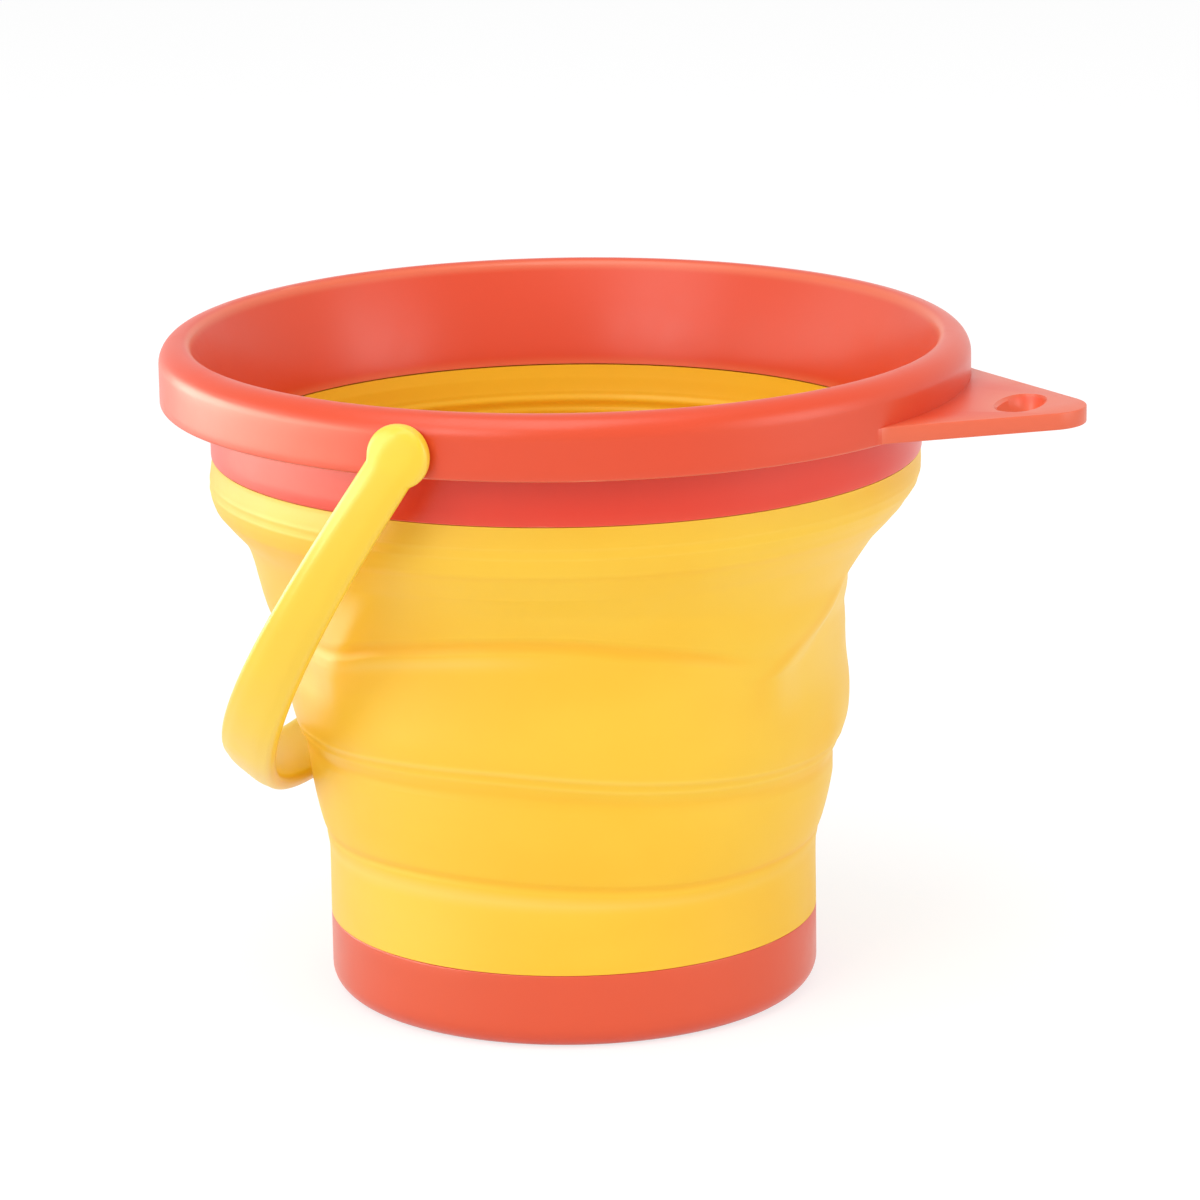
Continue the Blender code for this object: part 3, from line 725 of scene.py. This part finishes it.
def wall_painted_shading(height, angle, is_inner):
    """Painted light (towards 1) and painted shade (towards -1) on the wall at a height and angle."""
    if is_inner:
        return 0.0
    left = -105.0
    right = -35.0
    bail_side = (-92.0, -62.0)
    place = height / mm
    around = turned_by(angle, 0.0)
    strengths = {
        "all round": 1.0,
        "left": towards(around, left),
        "far left": towards(around, left) ** 2,
        "right": towards(around, right),
        "beside the bail": 1 - smooth(way(around, *bail_side)),
        "crease": eased_between(crease_line, around),
    }
    painted_shading = 0.0
    for centre, half_width, lightness, where in tint_lines:
        painted_shading += lightness * bump(place, centre, half_width) * strengths[where]
    past_right, past_left = past_dent_edges(place, around)
    # Painted highlights on the dents' facets, and painted shade along their edges
    pale_right, dark_right = 0.5, 0.4
    pale_left, dark_left = 0.8, 0.12
    pale_ahead = 3.0
    dark_half_width = 6.0
    dents = pale_right * dent(past_right, full=5.0, fades=10.0, ends=60.0)
    dents -= dark_right * bump(past_right, -3.0, dark_half_width)
    dents += pale_left * dent(past_left + pale_ahead, full=4.0, fades=19.0, ends=35.0)
    dents -= dark_left * bump(past_left, -4.0, dark_half_width)
    return painted_shading + dents * eased_between(facet_line, place)


def ring_heights(lowest, zones):
    """Heights of the wall's rings, from the lowest in mm on through zones of (top, spacing)."""
    heights = []
    low = lowest
    for high, spacing in zones:
        count = max(1, round((high - low) / spacing))
        heights += [(low + (high - low) * step / count) * mm for step in range(count)]
        low = high
    return heights + [low * mm]


def wall_sides(heights, sizes):
    """The wall's outer and inner side as (radius, height) points, upwards."""
    outer = [(outer_radius(height), height) for height in heights]
    inner = [(radius - wall_thickness(height, sizes), height) for radius, height in outer]
    return outer, inner


def bend_wall(wall, sizes):
    """Gives the turned wall its lift, lean and dents, and its thickness where it ends up."""
    # Painted light and shade of the wall's outer side, stored on each vertex
    painted_shading = wall.data.attributes.new("painted_shading", "FLOAT", "POINT")
    for vertex in wall.data.vertices:
        x, y, height = vertex.co
        if height < band_foot + weld or height > collar_bottom - seam + weld:
            continue
        angle = math.atan2(y, x)
        outer = outer_radius(height)
        is_inner = math.hypot(x, y) < outer - sizes.hinge_wall / 2
        new_height = height + lifted(height, angle, sizes)
        new_radius = outer + shifted(height, angle, sizes)
        if is_inner:
            new_radius -= wall_thickness(new_height, sizes)
        painted_shading.data[vertex.index].value = wall_painted_shading(height, angle, is_inner)
        vertex.co = (new_radius * math.cos(angle), new_radius * math.sin(angle), new_height)
    wall.data.update()


def finish_wall(wall, sizes):
    bend_wall(wall, sizes)
    shade(wall, sharp_degrees=40)
    coat(wall, finish_of("yellow_elastomer"))
    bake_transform(wall)


def make_wall():
    """The yellow wall: a lower mesh from the cup to the middle band, and an upper one on to the collar."""
    sizes = bpy.context.scene.bucket_sizes
    cup_tongue_outer = cup_radius - cup_wall - tongue_gap
    cup_tongue_inner = cup_tongue_outer - tongue_wall
    outer, inner = wall_sides(ring_heights(band_foot / mm, lower_zones), sizes)
    tongue = [(cup_tongue_outer, band_foot), (cup_tongue_outer, cup_wall_gap)]
    tongue += [(cup_tongue_inner, cup_wall_gap), (cup_tongue_inner, band_foot)]
    lower = turn("wall_lower", outer[::-1] + tongue + inner + [outer[-1]], wall_turn_steps)
    finish_wall(lower, sizes)
    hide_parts("wall_base_band", "wall_lower_fold", "wall_middle_band")

    outer, inner = wall_sides(ring_heights(wall_split / mm, upper_zones), sizes)
    tongue = [(tongue_inner(sizes), tongue_top), (tongue_outer(sizes), tongue_top)]
    tongue.append((tongue_outer(sizes), collar_bottom - seam))
    upper = turn("wall_upper", outer[::-1] + inner + tongue + [outer[-1]], wall_turn_steps)
    finish_wall(upper, sizes)
    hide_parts("wall_middle_band", "wall_upper_fold", "wall_top_band")


# Rim

def rim_profile(sizes):
    """Down the outside of the lip and skirt, up the channel, down the collar and back up the inside."""
    skirt_bottom = rim_top - sizes.skirt_height
    lip_radius = rim_radius - sizes.lip_round
    lip_height = rim_top - sizes.lip_round
    mouth_height = rim_top - sizes.mouth_round
    edge = 0.6 * mm
    skirt_inner = rim_radius - sizes.rim_wall
    collar = skirt_inner - sizes.channel_width
    collar_inner = collar - sizes.collar_wall
    foot_round = 0.35 * mm
    side_steps = 5
    flare_steps = 18
    flare_bend = 1.35
    flare = 23.0
    skirt_foot = skirt_bottom + edge
    drop = (lip_height - skirt_foot) / side_steps
    side_heights = [lip_height - drop * step for step in range(1, side_steps)]
    outer = arc(lip_radius, lip_height, sizes.lip_round, 90, 0, steps=18)
    outer += [(rim_radius, height) for height in side_heights]
    outer += arc(rim_radius - edge, skirt_foot, edge, 0, -90, steps=5)
    outer += arc(skirt_inner + edge, skirt_foot, edge, -90, -180, steps=5)
    outer += [(skirt_inner, height) for height in side_heights[::-1]]
    roof = arc(lip_radius, lip_height, sizes.lip_round - sizes.rim_wall, 0, 90, steps=12)
    collar_side = []
    inner_side = []
    underside_radius = lip_radius - sizes.mouth_round + sizes.rim_wall
    mouth_radius = lip_radius - sizes.mouth_round * math.cos(math.radians(flare))
    mouth_start = mouth_height + sizes.mouth_round * math.sin(math.radians(flare))
    ledge = tongue_top + tongue_gap
    inner_foot = tongue_inner(sizes)
    for step in range(flare_steps + 1):
        share = step / flare_steps
        collar_side.append((collar + (underside_radius - collar) * smooth(share),
                            skirt_bottom + (mouth_height - skirt_bottom) * share))
        inner_side.append((inner_foot + (mouth_radius - inner_foot) * share ** flare_bend,
                           ledge + (mouth_start - ledge) * share))
    foot = [(collar, skirt_bottom - (skirt_bottom - collar_bottom) * share) for share in (0.25, 0.5, 0.75)]
    foot += arc(collar - foot_round, collar_bottom + foot_round, foot_round, 0, -90, steps=4)
    foot += [(collar_inner, collar_bottom), (collar_inner, ledge)]
    lip_inside = arc(lip_radius, mouth_height, sizes.mouth_round, 180 - flare, 90, steps=14)
    return outer + roof + collar_side[::-1] + foot + inner_side + lip_inside[1:]


def tab_outline(sizes):
    """The tab's edge in plan, from its root on the +Y side round the tip to the other root."""
    half_angle = math.radians(37.3)
    slant = math.sin(half_angle)
    lean = math.cos(half_angle)
    tip_centre = tab_tip - sizes.tab_tip_round
    fillet_distance = tip_centre * slant + sizes.tab_tip_round + sizes.tab_root_round
    bite = 0.05 * mm
    fillet_orbit = rim_radius + sizes.tab_root_round - bite
    along = math.sqrt(fillet_orbit ** 2 - fillet_distance ** 2)
    fillet_x = fillet_distance * slant + along * lean
    fillet_y = fillet_distance * lean - along * slant
    start = math.atan2(-fillet_y, -fillet_x)
    end = math.atan2(-lean, -slant)
    steps = 16
    half = arc(fillet_x, fillet_y, sizes.tab_root_round, math.degrees(start), math.degrees(end), steps)
    half += arc(tip_centre, 0.0, sizes.tab_tip_round, 90 - math.degrees(half_angle), 0, steps)
    mirrored = [(x, -y) for x, y in half[-2::-1]]
    root_radius = rim_radius - sizes.rim_wall / 2
    root_angle = math.degrees(math.atan2(half[0][1], half[0][0]))
    return half + mirrored + arc(0.0, 0.0, root_radius, -root_angle, root_angle, steps)


def make_slot(sizes, tab_bottom):
    """A cutter for the tab's oval hole, which widens upward and is rounded off at the top."""
    centre = Vector((rim_radius + sizes.slot_from_rim, 0.0, 0.0))
    half_length = sizes.slot_length / 2
    half_width = sizes.slot_width / 2
    easing = 0.7 * mm
    overrun = 3 * mm
    fullness = 0.9
    draft = 0.8
    turn_steps = 48
    points = []
    for across, along in arc(0.0, 0.0, 1.0, 0, 360, turn_steps)[:-1]:
        x = centre.x + half_width * draft * math.copysign(abs(across) ** fullness, across)
        y = half_length * draft * math.copysign(abs(along) ** fullness, along)
        points.append((x, y, tab_bottom - overrun))
    cutter = draw("tab_hole", points + [points[0]])
    bpy.ops.mesh.remove_doubles(threshold=weld)
    bpy.ops.mesh.edge_face_add()
    rise = overrun + sizes.tab_thickness - easing
    bpy.ops.mesh.extrude_region_move(TRANSFORM_OT_translate={"value": (0.0, 0.0, rise)})
    bpy.ops.transform.resize(value=(1 / draft, 1 / draft, 1.0), center_override=centre)
    bpy.ops.mesh.extrude_region_move(TRANSFORM_OT_translate={"value": (0.0, 0.0, easing)})
    share = ((half_width + easing) / half_width, (half_length + easing) / half_length, 1.0)
    bpy.ops.transform.resize(value=share, center_override=centre)
    bpy.ops.mesh.extrude_region_move(TRANSFORM_OT_translate={"value": (0.0, 0.0, overrun)})
    bpy.ops.mesh.select_all(action="SELECT")
    bpy.ops.mesh.normals_make_consistent(inside=False)
    bpy.ops.object.mode_set(mode="OBJECT")
    return cutter


def rim_painted_shading(vertex):
    """Painted shade under the skirt and in the tab's hole, painted light on the tab, and a painted highlight
    along the mouth's edge.
    """
    sizes = bpy.context.scene.bucket_sizes
    x, y, height = vertex.co
    radius = math.hypot(x, y)
    skirt_bottom = rim_top - sizes.skirt_height
    in_shade, hole_shade, tab_light, mouth_highlight = -0.75, -1.0, 0.65, 0.85
    hole_margin = 0.3 * mm
    tab_start = rim_radius + 0.2 * mm
    mouth_share = 0.75
    highlight_half_width = 1.5 * mm
    if height < skirt_bottom and radius > tongue_outer(sizes) + sizes.collar_wall:
        return in_shade
    hole_x = (x - rim_radius - sizes.slot_from_rim) / (sizes.slot_width / 2 + hole_margin)
    if math.hypot(hole_x, y / (sizes.slot_length / 2 + hole_margin)) < 1:
        return hole_shade
    if radius > tab_start:
        return tab_light
    # A painted highlight along the mouth's inner edge
    if height > rim_top - sizes.mouth_round:
        mouth_edge = rim_radius - sizes.lip_round - mouth_share * sizes.mouth_round
        return mouth_highlight * bump(radius, mouth_edge, highlight_half_width)
    return 0.0


def make_rim():
    """The red rim: rolled lip, skirt, open channel, collar, and the flat tab with its hole."""
    sizes = bpy.context.scene.bucket_sizes
    edge_round = 0.7 * mm
    tab_bottom = rim_top - sizes.skirt_height + 0.2 * mm
    rim = turn("rim_moulding", rim_profile(sizes), rim_turn_steps)
    tab = plate("tab", tab_outline(sizes), tab_bottom, sizes.tab_thickness)
    round_edges(tab, edge_round)
    combine(tab, "DIFFERENCE", make_slot(sizes, tab_bottom))
    combine(rim, "UNION", tab)
    for side in (-1, 1):
        deselect_all()
        middle = (0.0, side * (rim_radius - sizes.rim_wall / 2), pivot_height)
        bpy.ops.mesh.primitive_cylinder_add(vertices=48, radius=sizes.pin_radius + pin_gap,
                                            depth=2 * sizes.rim_wall, location=middle,
                                            rotation=(math.pi / 2, 0.0, 0.0))
        hole = bpy.context.object
        apply_place(hole)
        combine(rim, "DIFFERENCE", hole)
    shade(rim)
    mark(rim, rim_painted_shading)
    coat(rim, finish_of("red_plastic"))
    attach(rim, "rim")
    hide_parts("rim")


# Bail

def bail_path(half_span, reach):
    """Middle line of the strap, hanging straight down from the pivot's line, from -Y round to +Y."""
    fullness = 0.917
    points = []
    for step in range(strap_stations):
        angle = math.pi * step / (strap_stations - 1)
        across = abs(math.cos(angle)) ** fullness
        down = max(math.sin(angle), 0.0) ** fullness
        side = -1 if step < strap_stations / 2 else 1
        points.append(Vector((0.0, side * half_span * across, -reach * down)))
    return points


def strap_section(sizes):
    """The strap's section: x across its width, y through it, crowned on the -y side."""
    edge = 1.4 * mm
    half_width = sizes.bail_width / 2
    half_thick = sizes.bail_thickness / 2
    flat = half_width - edge
    up = half_thick - edge
    edge_steps = 6
    crown_steps = 12
    crown_flatness = 4
    points = []
    for side_x, side_y, start in ((1, 1, 0), (-1, 1, 90), (-1, -1, 180)):
        points += arc(side_x * flat, side_y * up, edge, start, start + 90, edge_steps)
    for step in range(1, crown_steps):
        share = 2 * step / crown_steps - 1
        rise = sizes.bail_crown * (1 - share ** crown_flatness)
        points.append((share * flat, -half_thick - rise))
    return points + arc(flat, -up, edge, 270, 360, edge_steps)


def eye_stops(sizes, offset):
    """Stations of the round eye from its top down to the strap: (across, up, half width, thickness share)."""
    half_width = sizes.bail_width / 2
    middle_across = -0.8 * mm
    middle_up = -1.3 * mm
    stations = 17
    first_angle = 8.0
    angle_step = 8.4
    thinnest = 0.45
    full_from = 0.75 * sizes.eye_radius
    to_left = half_width - offset + middle_across
    to_right = half_width + offset - middle_across
    stops = []
    for step in range(stations):
        angle = math.radians(first_angle + step * angle_step)
        up = sizes.eye_radius * math.cos(angle)
        reach = sizes.eye_radius * math.sin(angle)
        left = max(reach, to_left) if up < 0 else reach
        right = max(reach, to_right) if up < 0 else reach
        thick = thinnest + (1 - thinnest) * math.sqrt(min(reach / full_from, 1.0))
        stops.append((middle_across + (right - left) / 2, middle_up + up, (left + right) / 2, thick))
    return stops


def strap_stops(sizes, half_span):
    """Stations from eye to eye: (middle, heading, width share, thickness share)."""
    path = bail_path(half_span, sizes.bail_reach)
    half_width = sizes.bail_width / 2
    offset = -0.6 * mm
    eye = eye_stops(sizes, offset)
    eye_clearance = 0.8 * mm
    strap_top = eye[-1][1] - eye_clearance
    thickening = 0.7
    stops = []
    for across, up, wide, thick in eye:
        stops.append((Vector((across, -half_span, up)), 0.0, wide / half_width, thick))
    for step in range(1, strap_stations - 1):
        here = path[step]
        if here.z > strap_top:
            continue
        along = path[step + 1] - path[step - 1]
        heading = math.atan2(along.y, -along.z)
        towards_grip = smooth(math.sin(math.pi * step / (strap_stations - 1)))
        growth = (sizes.grip_width / sizes.bail_width - 1) * towards_grip
        stops.append((here + Vector((offset, 0.0, 0.0)), heading, 1 + growth, 1 + growth * thickening))
    for across, up, wide, thick in eye[::-1]:
        stops.append((Vector((across, half_span, up)), math.pi, wide / half_width, thick))
    return stops


def make_strap(sizes, half_span):
    """The strap with its eyes, drawn as its end face and extruded from station to station."""
    stops = strap_stops(sizes, half_span)
    here, heading, wide, thick = stops[0]
    outline = [(here.x + x * wide, here.y + y * thick, here.z) for x, y in strap_section(sizes)]
    strap = draw("bail_moulding", outline + [outline[0]])
    bpy.ops.mesh.remove_doubles(threshold=weld)
    bpy.ops.mesh.edge_face_add()
    for new_here, new_heading, new_wide, new_thick in stops[1:]:
        bpy.ops.mesh.extrude_region_move(TRANSFORM_OT_translate={"value": new_here - here})
        bpy.ops.transform.rotate(value=-(new_heading - heading), orient_axis="X", orient_type="GLOBAL",
                                 center_override=new_here)
        slim = new_thick / thick
        bpy.ops.transform.resize(value=(new_wide / wide, slim, slim), center_override=new_here)
        here, heading, wide, thick = new_here, new_heading, new_wide, new_thick
    bpy.ops.mesh.select_all(action="SELECT")
    bpy.ops.mesh.normals_make_consistent(inside=False)
    bpy.ops.object.mode_set(mode="OBJECT")
    return strap


def make_pin(sizes, side, half_span):
    """Pin and snap head, turned about the pivot line; drawn along Z and laid on to Y."""
    eye_gap = 0.3 * mm
    boss_edge = 0.3 * mm
    head_gap = 0.6 * mm
    head_height = 2.4 * mm
    overhang = 0.9 * mm
    inner_face = rim_radius + eye_gap
    boss_radius = sizes.eye_radius - 2.2 * mm
    head_start = rim_radius - sizes.rim_wall - head_gap
    head_radius = sizes.pin_radius + overhang
    head_end = head_start - head_height
    profile = [(0.0, half_span), (boss_radius, half_span), (boss_radius, inner_face + boss_edge)]
    profile += [(boss_radius - boss_edge, inner_face)]
    profile += [(sizes.pin_radius, inner_face), (sizes.pin_radius, head_start), (head_radius, head_start)]
    profile += arc(head_radius - overhang, head_start - overhang, overhang, 0, -60, steps=4)
    profile += [(sizes.pin_radius - overhang, head_end), (0.0, head_end)]
    pin = turn("pin", profile, eye_turn_steps)
    pin.rotation_euler = (math.radians(90 if side < 0 else -90), 0.0, 0.0)
    apply_place(pin)
    return pin


def bail_painted_shading(vertex):
    """Painted shade and yellow bounce light deepen the strap's inner face, and painted highlights lighten its
    long edges.
    """
    inner_face = -1.0
    edge_pale = 0.35
    least_facing = 0.3
    middle_share = 0.45
    eye_bottom = -8 * mm
    y, height = vertex.co.y, vertex.co.z
    loop_middle = -middle_share * bpy.context.scene.bucket_sizes.bail_reach
    inward = Vector((0.0, -y, loop_middle - height)).normalized()
    # The inner face gets painted shade and bounce light, the long edges painted highlights
    if inward.dot(vertex.normal) > least_facing:
        return inner_face
    return edge_pale * abs(vertex.normal.x) if height < eye_bottom else 0.0


def hanging_angle():
    """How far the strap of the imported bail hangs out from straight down."""
    half_grip = 3 * mm
    grip = [v.co for v in frame["nodes"]["bail"].data.vertices if abs(v.co.y) < half_grip]
    middle = sum(grip, Vector()) / len(grip)
    return math.atan2(-middle.x, pivot_height - middle.z)


def make_bail():
    """The lemon bail: a crowned strap bent into a loop, a round eye at each end, and split snap pins."""
    sizes = bpy.context.scene.bucket_sizes
    skirt_gap = 0.65 * mm
    split = (1.2 * mm, 6.3 * mm, 16.0 * mm)
    half_span = rim_radius + skirt_gap + sizes.bail_thickness / 2
    bail = make_strap(sizes, half_span)
    for side in (-1, 1):
        combine(bail, "UNION", make_pin(sizes, side, half_span))
    for side in (-1, 1):
        deselect_all()
        bpy.ops.mesh.primitive_cube_add(size=1.0, location=(0.0, side * (rim_radius - sizes.rim_wall), 0.0))
        cutter = bpy.context.object
        cutter.scale = split
        apply_place(cutter)
        combine(bail, "DIFFERENCE", cutter)
    mark(bail, bail_painted_shading)
    bail.rotation_euler = (0.0, hanging_angle(), 0.0)
    bail.location = (0.0, 0.0, pivot_height)
    apply_place(bail)
    shade(bail, sharp_degrees=40)
    coat(bail, finish_of("lemon_plastic"))
    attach(bail, "bail")
    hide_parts("bail")


# Stage

def make_floor():
    """A plain pale floor that the camera sees as white, with the object's soft shadow kept."""
    floor_radius = 9.0
    grey = 0.36
    glow_strength = 0.72
    deselect_all()
    bpy.ops.mesh.primitive_circle_add(vertices=64, radius=floor_radius, fill_type="NGON",
                                      location=(0.0, 0.0, 0.0))
    floor = bpy.context.object
    floor.name = "floor"
    material = bpy.data.materials.new("pale_floor")
    material.use_nodes = True
    tree = material.node_tree
    tree.nodes.clear()
    output = tree.nodes.new("ShaderNodeOutputMaterial")
    plain = add_node(tree, "ShaderNodeBsdfDiffuse", Color=bpy.context.scene.bucket_colours.floor)
    shadow = add_node(tree, "ShaderNodeBsdfDiffuse", Color=(grey, grey, grey, 1.0))
    glow = add_node(tree, "ShaderNodeEmission", Strength=glow_strength)
    seen = add_node(tree, "ShaderNodeAddShader")
    tree.links.new(shadow.outputs[0], seen.inputs[0])
    tree.links.new(glow.outputs[0], seen.inputs[1])
    mix = add_node(tree, "ShaderNodeMixShader")
    tree.links.new(seen_ray(tree), mix.inputs[0])
    tree.links.new(plain.outputs[0], mix.inputs[1])
    tree.links.new(seen.outputs[0], mix.inputs[2])
    tree.links.new(mix.outputs[0], output.inputs["Surface"])
    coat(floor, material)


def seen_ray(tree):
    """1 for rays from the camera, off a gloss or through glass, 0 for the rest."""
    path = tree.nodes.new("ShaderNodeLightPath").outputs
    either = calculate(tree, "MAXIMUM", path["Is Camera Ray"], path["Is Glossy Ray"])
    return calculate(tree, "MAXIMUM", either, path["Is Transmission Ray"])


def make_world():
    """White to the camera and in gloss, and a softer light from all round on everything else."""
    world = bpy.data.worlds.new("studio")
    bpy.context.scene.world = world
    world.use_nodes = True
    tree = world.node_tree
    background = tree.nodes["Background"]
    background.inputs["Color"].default_value = (1.0, 1.0, 1.0, 1.0)
    strength = add_node(tree, "ShaderNodeMapRange", Value=seen_ray(tree), To_Min=0.56, To_Max=1.0)
    tree.links.new(strength.outputs["Result"], background.inputs["Strength"])


# Soft boxes: name, azimuth and elevation in degrees, distance, width and height in metres, power in watts
lamps = (("left_light", -66.0, 12.0, 1.6, 1.5, 1.1, 5.0),
         ("front_light", -14.0, 29.0, 1.9, 0.9, 0.8, 8.5),
         ("top_light", -10.0, 72.0, 1.8, 1.4, 1.4, 15.0),
         ("right_light", 88.0, 16.0, 1.9, 0.9, 1.1, 9.5),
         ("left_sheen", -70.0, 11.0, 0.62, 1.05, 0.24, 6.0))
lamp_aim = Vector((0.0, 0.0, 0.09))


def add_lamp(name, azimuth, elevation, distance, width, height, power):
    """A soft box round the object, turned to it."""
    place = Vector(seen_from(azimuth, elevation, distance))
    deselect_all()
    bpy.ops.object.light_add(type="AREA", location=place)
    lamp = bpy.context.object
    lamp.name = name
    lamp.data.shape = "RECTANGLE"
    lamp.data.size = width
    lamp.data.size_y = height
    lamp.data.energy = power
    lamp.rotation_euler = (lamp_aim - place).to_track_quat("-Z", "Y").to_euler()


def seen_from(azimuth, elevation, distance):
    """A place round the object: azimuth 0 looks along +Y, elevation above the floor, in degrees."""
    turn_to = math.radians(azimuth)
    rise = math.radians(elevation)
    flat = distance * math.cos(rise)
    return (flat * math.sin(turn_to), -flat * math.cos(turn_to), distance * math.sin(rise))


def make_camera():
    """A camera that sees the object as the photograph does."""
    right = Vector((math.cos(view_azimuth), math.sin(view_azimuth), 0.0))
    back = Vector(seen_from(math.degrees(view_azimuth), math.degrees(view_elevation), view_distance))
    data = bpy.data.cameras.new("photo_camera")
    data.lens = view_lens
    data.sensor_width = view_sensor_width
    camera = bpy.data.objects.new("photo_camera", data)
    bpy.context.scene.collection.objects.link(camera)
    camera.location = right * view_target_right + Vector((0.0, 0.0, view_target_height)) + back
    level = (-back).to_track_quat("-Z", "Y").to_matrix()
    camera.rotation_euler = (level @ Matrix.Rotation(view_roll, 3, "Z")).to_euler()
    bpy.context.scene.camera = camera


def make_stage():
    make_floor()
    make_world()
    for lamp in lamps:
        add_lamp(*lamp)
    sheen = bpy.data.objects["left_sheen"]
    sheen.data.color = (1.0, 0.96, 0.80)
    sheen.visible_diffuse = False
    make_camera()
    bpy.context.scene.view_settings.view_transform = "Standard"


class BUCKET_OT_base_cup(bpy.types.Operator):
    """Models the red base cup"""
    bl_idname = "bucket.base_cup"
    bl_label = "Base cup"

    def execute(self, context):
        make_cup()
        return {"FINISHED"}


class BUCKET_OT_wall(bpy.types.Operator):
    """Models the two meshes of the pleated yellow wall"""
    bl_idname = "bucket.wall"
    bl_label = "Pleated wall"

    def execute(self, context):
        make_wall()
        return {"FINISHED"}


class BUCKET_OT_rim(bpy.types.Operator):
    """Models the red rim with its hanging tab"""
    bl_idname = "bucket.rim"
    bl_label = "Rim and tab"

    def execute(self, context):
        make_rim()
        return {"FINISHED"}


class BUCKET_OT_bail(bpy.types.Operator):
    """Models the lemon bail with its eyes and snap pins"""
    bl_idname = "bucket.bail"
    bl_label = "Bail"

    def execute(self, context):
        make_bail()
        return {"FINISHED"}


class BUCKET_OT_stage(bpy.types.Operator):
    """Makes the floor, the lights and the camera"""
    bl_idname = "bucket.stage"
    bl_label = "Stage"

    def execute(self, context):
        make_stage()
        return {"FINISHED"}


class VIEW3D_PT_bucket(bpy.types.Panel):
    """Sizes, colours and steps of the bucket"""
    bl_label = "Collapsible bucket"
    bl_space_type = "VIEW_3D"
    bl_region_type = "UI"
    bl_category = "Bucket"

    def draw(self, context):
        layout = self.layout
        for operator in build_order:
            layout.operator(operator.bl_idname)
        for settings in (context.scene.bucket_sizes, context.scene.bucket_colours):
            box = layout.box()
            for name in settings.__annotations__:
                box.prop(settings, name)


build_order = (BUCKET_OT_base_cup, BUCKET_OT_wall, BUCKET_OT_rim, BUCKET_OT_bail, BUCKET_OT_stage)
classes = (BucketSizes, BucketColours, *build_order, VIEW3D_PT_bucket)


def register():
    for item in classes:
        bpy.utils.register_class(item)
    bpy.types.Scene.bucket_sizes = bpy.props.PointerProperty(type=BucketSizes)
    bpy.types.Scene.bucket_colours = bpy.props.PointerProperty(type=BucketColours)


def unregister():
    del bpy.types.Scene.bucket_colours
    del bpy.types.Scene.bucket_sizes
    for item in reversed(classes):
        bpy.utils.unregister_class(item)


def main():
    register()
    for operator in build_order:
        name = operator.bl_idname.split(".")[1]
        getattr(bpy.ops.bucket, name)()


if __name__ == "__main__":
    main()
